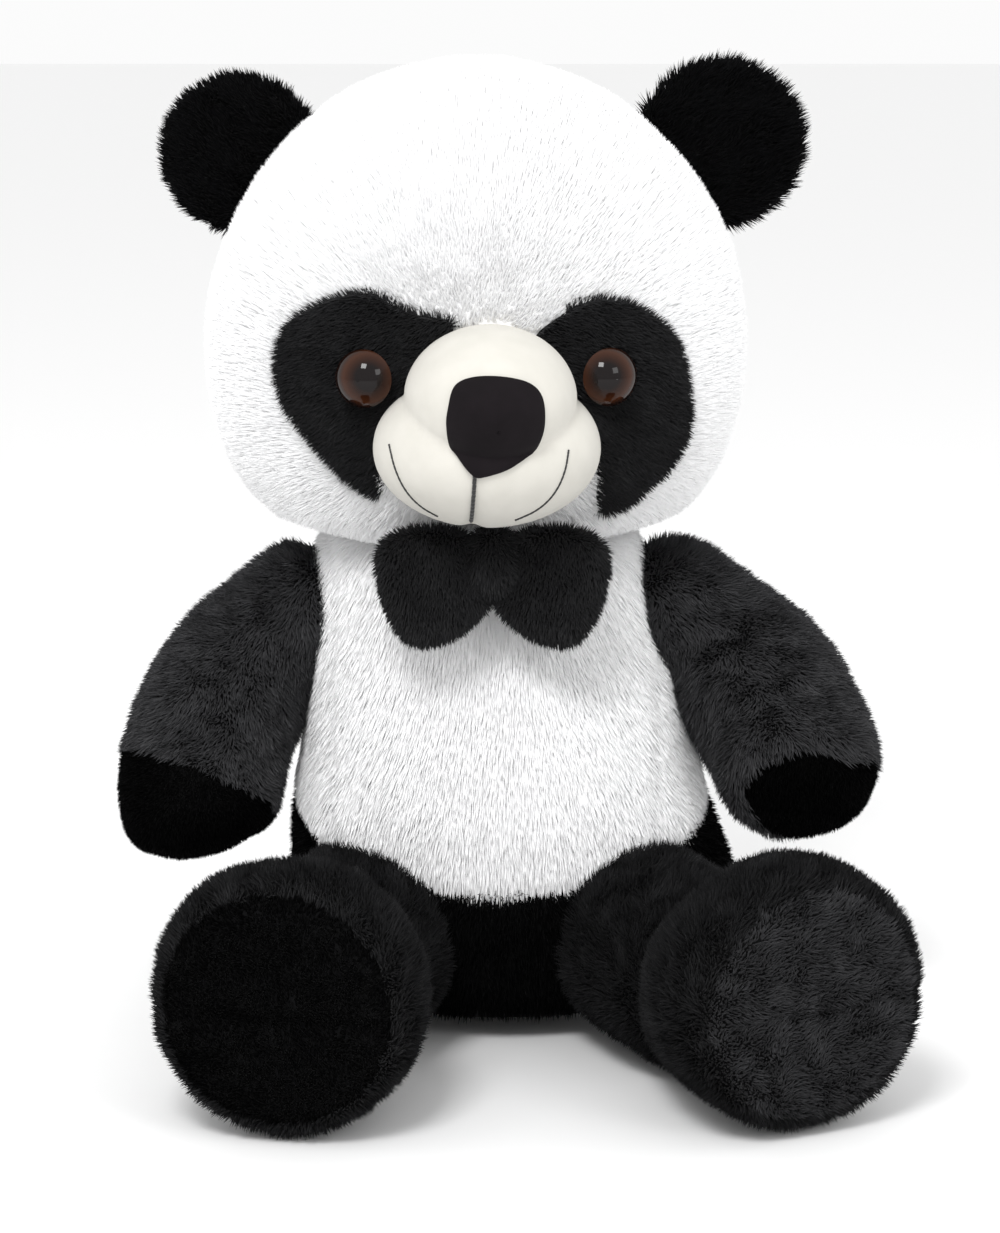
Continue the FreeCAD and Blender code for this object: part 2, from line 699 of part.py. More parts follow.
faults = []
for part in doc.Objects:
    if "Invalid" in part.State or "Error" in part.State:
        faults.append(f"{part.Name} is {part.State}")
for part in nodes:
    if part.Shape.isNull() or not part.Shape.isValid():
        faults.append(f"{part.Label} has no valid shape")
    elif not part.Shape.Solids:
        faults.append(f"{part.Label} has no solid")
if faults:
    raise RuntimeError("; ".join(faults))

os.makedirs("parts", exist_ok=True)
for part in nodes:
    part.Shape.exportStep(os.path.join("parts", part.Label + ".step"))
    box = part.Shape.BoundBox
    print(
        f"{part.Label:26s} {part.Shape.Volume / 1000:9.2f} cm3  solids {len(part.Shape.Solids)}"
        f"  x {box.XMin:7.1f} {box.XMax:7.1f}  y {box.YMin:7.1f} {box.YMax:7.1f}"
        f"  z {box.ZMin:7.1f} {box.ZMax:7.1f}"
    )
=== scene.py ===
import math

import bmesh
import bpy
import numpy as np
from mathutils import Matrix, Vector, noise
from mathutils.bvhtree import BVHTree


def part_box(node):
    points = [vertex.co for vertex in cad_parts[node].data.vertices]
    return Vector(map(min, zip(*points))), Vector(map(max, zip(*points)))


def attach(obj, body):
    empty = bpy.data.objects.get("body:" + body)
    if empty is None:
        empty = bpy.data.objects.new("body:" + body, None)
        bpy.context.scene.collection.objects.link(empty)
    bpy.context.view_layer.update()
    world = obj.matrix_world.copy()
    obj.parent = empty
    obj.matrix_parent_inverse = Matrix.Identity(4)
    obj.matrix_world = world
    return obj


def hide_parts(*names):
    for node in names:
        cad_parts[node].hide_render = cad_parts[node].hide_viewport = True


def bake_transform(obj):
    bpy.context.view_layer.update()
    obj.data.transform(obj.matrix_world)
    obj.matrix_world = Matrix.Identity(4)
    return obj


# A sitting plush panda. Metres, the same frame as the CAD parts: +Z up, the face looks
# along -Y, and the toy's own right side is at -X.

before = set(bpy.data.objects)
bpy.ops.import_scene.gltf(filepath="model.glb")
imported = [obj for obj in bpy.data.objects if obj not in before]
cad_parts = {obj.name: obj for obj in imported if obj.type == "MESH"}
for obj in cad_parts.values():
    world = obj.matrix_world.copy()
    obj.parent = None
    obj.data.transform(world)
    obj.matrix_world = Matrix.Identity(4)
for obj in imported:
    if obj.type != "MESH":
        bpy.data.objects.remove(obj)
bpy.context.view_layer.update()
scene = bpy.context.scene

# ---- camera, floor and light ----
# A long lens a little above the head looks down at the toy, which sits on a pale floor
# under large soft lamps.

CAMERA_PLACE = Vector((0.0022, -1.5072, 0.4655))
CAMERA_DOWN = math.radians(11.0)
CAMERA_LENS = 125.2
CAMERA_SENSOR = 36.0

camera_data = bpy.data.cameras.new("camera")
camera_data.lens = CAMERA_LENS
camera_data.sensor_width = CAMERA_SENSOR
camera_data.sensor_fit = "HORIZONTAL"
camera = bpy.data.objects.new("camera", camera_data)
camera.location = CAMERA_PLACE
camera.rotation_euler = (math.pi / 2 - CAMERA_DOWN, 0, 0)
scene.collection.objects.link(camera)
scene.camera = camera
scene.view_settings.view_transform = "Standard"


def plain_material(name, colour, roughness, **extra):
    """A Principled material; extra gives other sockets by name, with _ for a space."""
    material = bpy.data.materials.new(name)
    material.use_nodes = True
    shader = material.node_tree.nodes["Principled BSDF"]
    shader.inputs["Base Color"].default_value = (*colour, 1)
    shader.inputs["Roughness"].default_value = roughness
    for socket, value in extra.items():
        shader.inputs[socket.replace("_", " ")].default_value = value
    return material


FLOOR_SIZE = 12.0
floor_form = bmesh.new()
bmesh.ops.create_grid(floor_form, x_segments=1, y_segments=1, size=FLOOR_SIZE)
floor_mesh = bpy.data.meshes.new("floor")
floor_form.to_mesh(floor_mesh)
floor_form.free()
floor_mesh.materials.append(plain_material("pale_floor", (0.93, 0.93, 0.93), 0.9, Specular_IOR_Level=0.1))
floor = bpy.data.objects.new("floor", floor_mesh)
scene.collection.objects.link(floor)

world = bpy.data.worlds.new("studio")
world.use_nodes = True
sky = world.node_tree.nodes["Background"]
sky.inputs["Color"].default_value = (1, 1, 1, 1)
sky.inputs["Strength"].default_value = 0.97
scene.world = world

LAMPS = [
    # name, place, size, power
    ("key_lamp", Vector((-0.5, -1.7, 2.0)), 0.7, 32.0),
    ("fill_lamp", Vector((1.3, -1.6, 1.1)), 0.7, 7.0),
]
LAMP_AIM = Vector((0, 0, 0.2))
for name, place, size, power in LAMPS:
    lamp_data = bpy.data.lights.new(name, "AREA")
    lamp_data.size = size
    lamp_data.energy = power
    lamp = bpy.data.objects.new(name, lamp_data)
    lamp.location = place
    lamp.rotation_euler = (LAMP_AIM - place).to_track_quat("-Z", "Y").to_euler()
    scene.collection.objects.link(lamp)

# ---- head: one round bag of short white plush, stuffed firm ----
# Front and back panels are sewn ear to ear over the crown. The bag narrows to a round neck
# that sits in the torso's collar. The pile is brushed back from the face.

MM = 0.001
HEAD_CENTRE = Vector((-8, 0, 293)) * MM
HEAD_YAW = math.radians(3.0)
HEAD_HALF = Vector((120, 97, 126.5)) * MM
NECK_POINT = Vector((-8, 0, 252)) * MM
NECK_RADIUS = 66 * MM
BRIM_DROP = -70 * MM
BRIM_TILT = math.radians(6.5)
CROWN_SEAM_Y = 6 * MM
JOWL_TOP = -52 * MM
PILE_DEPTH = 3.6 * MM
head_frame = Matrix.Translation(HEAD_CENTRE) @ Matrix.Rotation(HEAD_YAW, 4, "Z")


def make_piece(name, form, *materials):
    """Turn a bmesh into a piece with its place in its mesh."""
    bmesh.ops.recalc_face_normals(form, faces=form.faces)
    mesh = bpy.data.meshes.new(name)
    form.to_mesh(mesh)
    form.free()
    for material in materials:
        mesh.materials.append(material)
    mesh.shade_smooth()
    piece = bpy.data.objects.new(name, mesh)
    scene.collection.objects.link(piece)
    return piece


def settle(piece):
    """Apply every modifier of a piece to its mesh."""
    bpy.context.view_layer.update()
    graph = bpy.context.evaluated_depsgraph_get()
    mesh = bpy.data.meshes.new_from_object(piece.evaluated_get(graph))
    piece.modifiers.clear()
    piece.data = mesh
    mesh.shade_smooth()
    return piece


def points_of(piece):
    """The places of a piece's points, one row each."""
    places = np.zeros(len(piece.data.vertices) * 3)
    piece.data.vertices.foreach_get("co", places)
    return places.reshape(-1, 3)


def normals_of(piece):
    normals = np.zeros(len(piece.data.vertices) * 3)
    piece.data.vertex_normals.foreach_get("vector", normals)
    return normals.reshape(-1, 3)


def move_points(piece, places):
    piece.data.vertices.foreach_set("co", places.ravel())
    piece.data.update()


def even_mesh(piece, grain):
    """Give a closed form an even mesh with faces of one size, then take off its steps."""
    remesh = piece.modifiers.new("even", "REMESH")
    remesh.mode = "VOXEL"
    remesh.voxel_size = grain
    remesh.adaptivity = 0
    smooth = piece.modifiers.new("smooth", "SMOOTH")
    smooth.factor = 0.5
    smooth.iterations = 6
    return settle(piece)


def soften(piece, where, times):
    """Round off the part of a piece that where marks."""
    form = bmesh.new()
    form.from_mesh(piece.data)
    chosen = [vert for vert, marked in zip(form.verts, where) if marked]
    for step in range(times):
        bmesh.ops.smooth_vert(
            form, verts=chosen, factor=0.5, use_axis_x=True, use_axis_y=True, use_axis_z=True
        )
    form.to_mesh(piece.data)
    form.free()
    return piece


SWELL_FRAMES = 20
SEAM_HOLD = 5 * MM


def swell(piece, seams, pressure=4.0, most=4 * MM):
    """Stuff a closed bag by cloth simulation. Its seams hold while the cloth between swells."""
    start = points_of(piece)
    held = piece.vertex_groups.new(name="held")
    away = np.min([seam(start) for seam in seams], axis=0)
    for index in np.flatnonzero(away < SEAM_HOLD):
        held.add([int(index)], float(1 - away[index] / SEAM_HOLD), "REPLACE")
    cloth = piece.modifiers.new("cloth", "CLOTH")
    cloth.settings.quality = 4
    cloth.settings.use_pressure = True
    cloth.settings.uniform_pressure_force = pressure
    cloth.settings.vertex_group_mass = "held"
    cloth.settings.effector_weights.gravity = 0
    cloth.collision_settings.use_collision = False
    cloth.point_cache.frame_end = SWELL_FRAMES
    for number in range(1, SWELL_FRAMES + 1):
        scene.frame_set(number)
    settle(piece)
    piece.vertex_groups.clear()
    scene.frame_set(1)
    moved = points_of(piece) - start
    reach = np.linalg.norm(moved, axis=1, keepdims=True)
    moved *= np.minimum(1, most / np.maximum(reach, 1e-9))
    move_points(piece, start + moved)
    return piece


def finer(piece, levels=1):
    subdivision = piece.modifiers.new("finer", "SUBSURF")
    subdivision.levels = levels
    subdivision.render_levels = levels
    return settle(piece)


def draw_in(piece, seams, depth, width):
    """Pull the cloth in along its seams, as tight stitching does."""
    places = points_of(piece)
    away = np.min([seam(places) for seam in seams], axis=0)
    pull = depth * np.exp(-((away / width) ** 2))
    move_points(piece, places - normals_of(piece) * pull[:, None])
    return piece


def dimple(piece, height, size, seed):
    """Uneven filling: low soft lumps over the whole piece."""
    places = points_of(piece)
    normals = normals_of(piece)
    shift = Vector((seed, 0, 0))
    lumps = [noise.noise(Vector(place) / size + shift) * height for place in places]
    move_points(piece, places + normals * np.array(lumps)[:, None])
    return piece


def nap_group():
    """Soft uneven tone and fine relief of brushed pile: a tone to mix colours by, and a height."""
    group = bpy.data.node_groups.new("brushed_nap", "ShaderNodeTree")
    group.interface.new_socket("Grain", in_out="INPUT", socket_type="NodeSocketFloat")
    group.interface.new_socket("Tone", in_out="OUTPUT", socket_type="NodeSocketFloat")
    group.interface.new_socket("Height", in_out="OUTPUT", socket_type="NodeSocketFloat")
    nodes = group.nodes
    given = nodes.new("NodeGroupInput")
    given_out = nodes.new("NodeGroupOutput")
    place = nodes.new("ShaderNodeTexCoord")
    clumps = nodes.new("ShaderNodeTexNoise")
    clumps.inputs["Scale"].default_value = 70.0
    clumps.inputs["Detail"].default_value = 3.0
    fibres = nodes.new("ShaderNodeTexNoise")
    fibres.inputs["Detail"].default_value = 2.0
    both = nodes.new("ShaderNodeMath")
    both.operation = "MULTIPLY_ADD"
    both.inputs[1].default_value = 0.5
    group.links.new(place.outputs["Object"], clumps.inputs["Vector"])
    group.links.new(place.outputs["Object"], fibres.inputs["Vector"])
    group.links.new(given.outputs["Grain"], fibres.inputs["Scale"])
    group.links.new(fibres.outputs["Fac"], both.inputs[0])
    group.links.new(clumps.outputs["Fac"], both.inputs[2])
    group.links.new(clumps.outputs["Fac"], given_out.inputs["Tone"])
    group.links.new(both.outputs[0], given_out.inputs["Height"])
    return group


brushed_nap = nap_group()


def cloth_material(name, dark, light, grain, relief, roughness, **extra):
    """Napped cloth whose tone wanders between two colours."""
    material = plain_material(name, light, roughness, **extra)
    nodes = material.node_tree.nodes
    links = material.node_tree.links
    shader = nodes["Principled BSDF"]
    nap = nodes.new("ShaderNodeGroup")
    nap.node_tree = brushed_nap
    nap.inputs["Grain"].default_value = grain
    tone = nodes.new("ShaderNodeMix")
    tone.data_type = "RGBA"
    tone.inputs["A"].default_value = (*dark, 1)
    tone.inputs["B"].default_value = (*light, 1)
    bump = nodes.new("ShaderNodeBump")
    bump.inputs["Strength"].default_value = 1.0
    bump.inputs["Distance"].default_value = relief
    links.new(nap.outputs["Tone"], tone.inputs["Factor"])
    links.new(tone.outputs["Result"], shader.inputs["Base Color"])
    links.new(nap.outputs["Height"], bump.inputs["Height"])
    links.new(bump.outputs["Normal"], shader.inputs["Normal"])
    return material


white_cloth = cloth_material(
    "white_plush_ground", (0.91, 0.91, 0.915), (0.95, 0.95, 0.95), 900.0, 0.6 * MM, 0.9, Sheen_Weight=0.3
)
# Upward-facing tufts take the lighter of these shades as painted top light, and clumps of them as painted
# sheen.
WHITE_PILE_SHADES = [(0.94, 0.94, 0.945), (0.955, 0.955, 0.96), (0.97, 0.97, 0.97)]
white_pile = [
    plain_material(f"white_pile_{number}", shade, 0.85, Sheen_Weight=0.2, Specular_IOR_Level=0.2)
    for number, shade in enumerate(WHITE_PILE_SHADES, 1)
]


def pile_group():
    """Scatters tapered tufts of pile over a cloth, laid one way, ruffled in clumps, each given a shade that
    carries painted light.
    """
    group = bpy.data.node_groups.new("pile", "GeometryNodeTree")
    group.is_modifier = True
    group.interface.new_socket("Cloth", in_out="INPUT", socket_type="NodeSocketGeometry")
    for label in ("Density", "Length", "Width", "Stray", "Clump"):
        group.interface.new_socket(label, in_out="INPUT", socket_type="NodeSocketFloat")
    group.interface.new_socket("Lay", in_out="INPUT", socket_type="NodeSocketVector")
    group.interface.new_socket("Seed", in_out="INPUT", socket_type="NodeSocketInt")
    group.interface.new_socket("Pile", in_out="OUTPUT", socket_type="NodeSocketGeometry")
    nodes = group.nodes
    link = group.links.new

    def vector_math(operation, first, second=None):
        node = nodes.new("ShaderNodeVectorMath")
        node.operation = operation
        link(first, node.inputs[0])
        if second is not None:
            link(second, node.inputs["Scale" if operation == "SCALE" else 1])
        return node.outputs["Value" if operation == "DOT_PRODUCT" else "Vector"]

    def chance(kind, low, high):
        node = nodes.new("FunctionNodeRandomValue")
        node.data_type = kind
        sockets = [s for s in node.inputs if s.enabled]
        sockets[0].default_value = low
        sockets[1].default_value = high
        return next(s for s in node.outputs if s.enabled)

    def attribute(kind, name):
        node = nodes.new("GeometryNodeInputNamedAttribute")
        node.data_type = kind
        node.inputs["Name"].default_value = name
        return node.outputs["Attribute"]

    def store(kind, name, geometry, value):
        node = nodes.new("GeometryNodeStoreNamedAttribute")
        node.data_type = kind
        node.domain = "POINT"
        node.inputs["Name"].default_value = name
        link(geometry, node.inputs["Geometry"])
        link(value, node.inputs["Value"])
        return node.outputs["Geometry"]

    given = nodes.new("NodeGroupInput").outputs
    thick = nodes.new("ShaderNodeMath")
    thick.operation = "MULTIPLY"
    link(attribute("FLOAT", "cover"), thick.inputs[0])
    link(given["Density"], thick.inputs[1])
    scatter = nodes.new("GeometryNodeDistributePointsOnFaces")
    link(given["Cloth"], scatter.inputs["Mesh"])
    link(thick.outputs[0], scatter.inputs["Density"])
    link(given["Seed"], scatter.inputs["Seed"])
    normal = scatter.outputs["Normal"]

    place = nodes.new("GeometryNodeInputPosition").outputs[0]
    clumps = nodes.new("ShaderNodeTexNoise")
    clumps.inputs["Scale"].default_value = 95.0
    clumps.inputs["Detail"].default_value = 1.5
    link(place, clumps.inputs["Vector"])
    centred = nodes.new("ShaderNodeVectorMath")
    centred.operation = "SUBTRACT"
    centred.inputs[1].default_value = (0.5, 0.5, 0.5)
    link(clumps.outputs["Color"], centred.inputs[0])
    ruffle = vector_math("SCALE", centred.outputs[0], given["Clump"])
    stray = vector_math("SCALE", chance("FLOAT_VECTOR", (-1, -1, -1), (1, 1, 1)), given["Stray"])
    along = vector_math("DOT_PRODUCT", given["Lay"], normal)
    lying = vector_math("SUBTRACT", given["Lay"], vector_math("SCALE", normal, along))
    aim = vector_math("ADD", vector_math("ADD", normal, lying), vector_math("ADD", ruffle, stray))

    turn = nodes.new("ShaderNodeCombineXYZ")
    link(chance("FLOAT", 0.0, 2 * math.pi), turn.inputs["Z"])
    spin = nodes.new("FunctionNodeEulerToRotation")
    link(turn.outputs[0], spin.inputs[0])
    point_up = nodes.new("FunctionNodeAlignRotationToVector")
    point_up.axis = "Z"
    link(spin.outputs[0], point_up.inputs["Rotation"])
    link(aim, point_up.inputs["Vector"])

    tuft = nodes.new("GeometryNodeMeshCone")
    tuft.fill_type = "NONE"
    tuft.inputs["Vertices"].default_value = 3
    tuft.inputs["Side Segments"].default_value = 1
    tuft.inputs["Radius Top"].default_value = 0.0
    link(given["Width"], tuft.inputs["Radius Bottom"])
    link(given["Length"], tuft.inputs["Depth"])
    stretch = nodes.new("ShaderNodeCombineXYZ")
    stretch.inputs["X"].default_value = 1
    stretch.inputs["Y"].default_value = 1
    link(chance("FLOAT", 0.65, 1.15), stretch.inputs["Z"])

    # Each tuft's shade. Clumps of lighter tufts are painted sheen highlights, partly real uneven tone.
    # Tufts that face up take lighter shades as painted top light. A random share is added.
    clump_sheen = nodes.new("ShaderNodeMath")
    clump_sheen.operation = "MULTIPLY_ADD"
    clump_sheen.inputs[1].default_value = 7.0
    clump_sheen.inputs[2].default_value = -2.9
    link(clumps.outputs["Fac"], clump_sheen.inputs[0])
    upward = nodes.new("ShaderNodeSeparateXYZ")
    link(normal, upward.inputs[0])
    toplit_shade = nodes.new("ShaderNodeMath")
    toplit_shade.operation = "MULTIPLY_ADD"
    toplit_shade.inputs[1].default_value = 1.0
    link(upward.outputs["Z"], toplit_shade.inputs[0])
    link(clump_sheen.outputs[0], toplit_shade.inputs[2])
    mixed = nodes.new("ShaderNodeMath")
    mixed.operation = "ADD"
    link(toplit_shade.outputs[0], mixed.inputs[0])
    link(chance("FLOAT", -0.5, 1.3), mixed.inputs[1])
    bounded = nodes.new("ShaderNodeClamp")
    bounded.inputs["Max"].default_value = 2.0
    link(mixed.outputs[0], bounded.inputs["Value"])

    marked = store("FLOAT_VECTOR", "nap", scatter.outputs["Points"], normal)
    marked = store("FLOAT", "shade", marked, bounded.outputs[0])
    planted = nodes.new("GeometryNodeInstanceOnPoints")
    link(marked, planted.inputs["Points"])
    link(tuft.outputs["Mesh"], planted.inputs["Instance"])
    link(point_up.outputs[0], planted.inputs["Rotation"])
    link(stretch.outputs[0], planted.inputs["Scale"])
    real = nodes.new("GeometryNodeRealizeInstances")
    link(planted.outputs[0], real.inputs[0])

    whole = nodes.new("FunctionNodeFloatToInt")
    whole.rounding_mode = "ROUND"
    link(attribute("FLOAT", "shade"), whole.inputs[0])
    shaded = nodes.new("GeometryNodeSetMaterialIndex")
    link(real.outputs[0], shaded.inputs["Geometry"])
    link(whole.outputs[0], shaded.inputs["Material Index"])
    own = nodes.new("GeometryNodeInputNormal").outputs[0]
    soft = nodes.new("ShaderNodeVectorMath")
    soft.operation = "SCALE"
    soft.inputs["Scale"].default_value = 0.12
    link(own, soft.inputs[0])
    combed = vector_math("NORMALIZE", vector_math("ADD", attribute("FLOAT_VECTOR", "nap"), soft.outputs[0]))
    rounded = nodes.new("GeometryNodeSetMeshNormal")
    rounded.mode = "FREE"
    rounded.domain = "POINT"
    link(shaded.outputs[0], rounded.inputs["Mesh"])
    link(combed, rounded.inputs["Custom Normal"])
    result = nodes.new("NodeGroupOutput")
    link(rounded.outputs[0], result.inputs["Pile"])
    return group


pile_maker = pile_group()


def grow_pile(cloth, name, shades, density, length, width, lay, stray=0.22, clump=1.2, bare=None, seed=1):
    """Real pile on a cloth, as one piece of tufts. bare says on which faces it grows: 0 none, 1 full."""
    pile = bpy.data.objects.new(name, cloth.data.copy())
    scene.collection.objects.link(pile)
    faces = pile.data.polygons
    middles = np.zeros(len(faces) * 3)
    facings = np.zeros(len(faces) * 3)
    faces.foreach_get("center", middles)
    faces.foreach_get("normal", facings)
    cover = np.ones(len(faces))
    if bare is not None:
        cover = bare(middles.reshape(-1, 3), facings.reshape(-1, 3)).astype(float)
    pile.data.attributes.new("cover", "FLOAT", "FACE").data.foreach_set("value", cover.astype(np.float32))
    maker = pile.modifiers.new("pile", "NODES")
    maker.node_group = pile_maker
    values = {
        "Density": density, "Length": length, "Width": width, "Stray": stray, "Clump": clump,
        "Lay": lay, "Seed": seed,
    }
    for item in pile_maker.interface.items_tree:
        if item.name in values:
            maker[item.identifier] = values[item.name]
    bpy.context.view_layer.update()
    graph = bpy.context.evaluated_depsgraph_get()
    mesh = bpy.data.meshes.new_from_object(pile.evaluated_get(graph))
    pile.modifiers.clear()
    pile.data = mesh
    mesh.materials.clear()
    for shade in shades:
        mesh.materials.append(shade)
    for mark in ("nap", "shade", "cover"):
        if mark in mesh.attributes:
            mesh.attributes.remove(mesh.attributes[mark])
    return pile


def oval(places, centre, half):
    """How far out places are in an ellipsoid: 1 on its surface."""
    return np.linalg.norm((places - np.array(centre)) / np.array(half), axis=1)


def in_head(places):
    """Places in the head's own axes."""
    back = np.array(head_frame.inverted())
    return places @ back[:3, :3].T + back[:3, 3]


head_form = bmesh.new()
skull = bmesh.ops.create_icosphere(head_form, subdivisions=5, radius=1.0)["verts"]
head_half = HEAD_HALF - Vector((1, 1, 1)) * (PILE_DEPTH + 1 * MM)
bmesh.ops.scale(head_form, vec=head_half, verts=skull)
brim = Matrix.Rotation(BRIM_TILT, 4, "X")
cut_edge = bmesh.ops.bisect_plane(
    head_form, geom=head_form.verts[:] + head_form.edges[:] + head_form.faces[:],
    plane_co=brim @ Vector((0, 0, BRIM_DROP)), plane_no=brim @ Vector((0, 0, 1)), clear_inner=True,
)["geom_cut"]
bmesh.ops.contextual_create(head_form, geom=[e for e in cut_edge if isinstance(e, bmesh.types.BMEdge)])
bmesh.ops.transform(head_form, matrix=head_frame, verts=head_form.verts)
bmesh.ops.create_icosphere(
    head_form, subdivisions=4, radius=NECK_RADIUS, matrix=Matrix.Translation(NECK_POINT)
)
head = make_piece("head_plush", head_form, white_cloth)


def crown_seam(places):
    return np.abs(in_head(places)[:, 1] - CROWN_SEAM_Y)


even_mesh(head, 4.5 * MM)
soften(head, in_head(points_of(head))[:, 2] < JOWL_TOP, 30)
swell(head, [crown_seam], most=2.5 * MM)
draw_in(head, [crown_seam], 0.8 * MM, 3 * MM)
dimple(head, 0.8 * MM, 0.04, 1)
head.data.materials.clear()
head.data.materials.append(white_cloth)
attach(head, "head")
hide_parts("head_front_panel", "head_back_panel", "head_stuffing")

# ---- muzzle: smooth cream velour over its own firm filling ----
# A narrow bridge is sewn over two wide cheeks; the seam between them runs down both sides.

CHEEK_CENTRE = Vector((0, -92, -32)) * MM
CHEEK_HALF = Vector((47, 48, 32.5)) * MM
BRIDGE_CENTRE = Vector((1, -100, -11)) * MM
BRIDGE_HALF = Vector((35.5, 49, 30.5)) * MM
CHIN_SEAM_X = -6.5 * MM
CHIN_SEAM_TOP = -38 * MM

cream_velour = cloth_material(
    "cream_velour", (0.56, 0.545, 0.495), (0.67, 0.65, 0.60), 2600.0, 0.16 * MM, 0.8, Sheen_Weight=0.1,
    Specular_IOR_Level=0.15,
)
muzzle_form = bmesh.new()
for centre, half in ((CHEEK_CENTRE, CHEEK_HALF), (BRIDGE_CENTRE, BRIDGE_HALF)):
    lobe = bmesh.ops.create_icosphere(muzzle_form, subdivisions=5, radius=1.0)["verts"]
    bmesh.ops.scale(muzzle_form, vec=half, verts=lobe)
    bmesh.ops.translate(muzzle_form, vec=centre, verts=lobe)
bmesh.ops.transform(muzzle_form, matrix=head_frame, verts=muzzle_form.verts)
muzzle = make_piece("muzzle_velour", muzzle_form, cream_velour)


def bridge_seam(places):
    """Distance from where the bridge meets the cheeks."""
    here = in_head(places)
    gap = oval(here, BRIDGE_CENTRE, BRIDGE_HALF) - oval(here, CHEEK_CENTRE, CHEEK_HALF)
    return np.abs(gap) * 0.04


def muzzle_middle(places):
    """The upright seam from the nose to the chin."""
    here = in_head(places)
    above = np.maximum(0, here[:, 2] - CHIN_SEAM_TOP)
    return np.hypot(here[:, 0] - CHIN_SEAM_X, above)


even_mesh(muzzle, 2.2 * MM)
swell(muzzle, [bridge_seam], most=1.2 * MM)
draw_in(muzzle, [bridge_seam], 1.0 * MM, 1.8 * MM)
draw_in(muzzle, [muzzle_middle], 1.6 * MM, 3.5 * MM)
muzzle.data.materials.clear()
muzzle.data.materials.append(cream_velour)
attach(muzzle, "head")
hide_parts("muzzle_cover", "muzzle_stuffing")

# ---- nose and eye patches: flat shapes cut from cloth and sewn on round the edge ----
# The nose is black felt on the muzzle; the eye patches are short black plush on the face.

NOSE_OUTLINE = [
    (-17, -9.5), (-14.5, -1), (-8, 2.5), (2, 3), (12, 1), (17.5, -3), (19.5, -9.5), (19, -19), (15, -27.5),
    (7.5, -33), (-1, -36), (-6.5, -36.5), (-11.5, -32), (-16, -24.5), (-17.5, -16),
]
RIGHT_PATCH = [
    (-84, 1), (-79, 16), (-64, 26), (-47, 30), (-31, 23), (-14, 19), (-18, 8), (-26, 0), (-32, -12),
    (-42, -24), (-48, -35), (-43, -53), (-56, -46), (-70, -31), (-81, -16),
]
LEFT_PATCH = [
    (19, 12), (29, 21), (42, 27), (55, 26), (67, 20), (78, 9), (83, -9), (84, -29), (77, -43), (66, -53),
    (55, -61), (47, -60), (46, -48), (45, -34), (40, -20), (34, -9), (26, 2),
]
PATCH_LIFT = 1.5 * MM
EYE_CLEARANCE = 11.5 * MM


def smooth_loop(corners, count):
    """A smooth closed line through a few corners, in the head's X and Z."""
    corners = np.array(corners) * MM
    total = len(corners)
    line = []
    for step in range(count):
        whole, part = divmod(step * total / count, 1)
        near = [corners[(int(whole) + shift) % total] for shift in (-1, 0, 1, 2)]
        bend = [
            -0.5 * part + part**2 - 0.5 * part**3,
            1 - 2.5 * part**2 + 1.5 * part**3,
            0.5 * part + 2 * part**2 - 1.5 * part**3,
            -0.5 * part**2 + 0.5 * part**3,
        ]
        line.append(sum(weight * corner for weight, corner in zip(bend, near)))
    return line


def applique(name, corners, base, lift, thickness, material, rings=12, edge=96):
    """A flat shape laid on a base: an outline filled with rings, then pressed on along Y."""
    line = smooth_loop(corners, edge)
    middle = sum(line) / edge
    form = bmesh.new()
    bmesh.ops.create_circle(form, segments=edge, radius=1)
    form.verts.ensure_lookup_table()
    for vert, (x, z) in zip(form.verts, line):
        vert.co = Vector((x, 0, z))
    loop = form.edges[:]
    centre = Vector((middle[0], 0, middle[1]))
    for number in range(rings, 1, -1):
        made = bmesh.ops.extrude_edge_only(form, edges=loop)["geom"]
        inner = [item for item in made if isinstance(item, bmesh.types.BMVert)]
        loop = [
            item for item in made
            if isinstance(item, bmesh.types.BMEdge) and all(v in inner for v in item.verts)
        ]
        shrink = (number - 1) / number
        bmesh.ops.scale(form, vec=(shrink, shrink, shrink), space=Matrix.Translation(-centre), verts=inner)
    bmesh.ops.contextual_create(form, geom=loop)
    bmesh.ops.triangulate(form, faces=[face for face in form.faces if len(face.verts) > 4])
    bmesh.ops.transform(form, matrix=head_frame, verts=form.verts)
    tree = BVHTree.FromObject(base, bpy.context.evaluated_depsgraph_get())
    back = head_frame.to_3x3() @ Vector((0, 1, 0))
    for vert in form.verts:
        start = vert.co - back * 0.3
        hit, hit_normal, index, reach = tree.ray_cast(start, back)
        vert.co = hit + hit_normal * lift
    piece = make_piece(name, form, material)
    if piece.data.polygons[0].normal.y > 0:
        piece.data.flip_normals()
    wall = piece.modifiers.new("wall", "SOLIDIFY")
    wall.thickness = thickness
    wall.offset = 1
    rounded = piece.modifiers.new("edge", "BEVEL")
    rounded.width = thickness * 0.3
    rounded.segments = 2
    rounded.limit_method = "ANGLE"
    return settle(piece)


black_felt = cloth_material(
    "black_felt", (0.003, 0.0022, 0.0026), (0.011, 0.008, 0.010), 2200.0, 0.12 * MM, 0.8, Sheen_Weight=0.03,
    Specular_IOR_Level=0.1,
)
nose = applique("nose_felt", NOSE_OUTLINE, muzzle, 0.2 * MM, 1.5 * MM, black_felt)
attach(nose, "head")
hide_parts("nose")

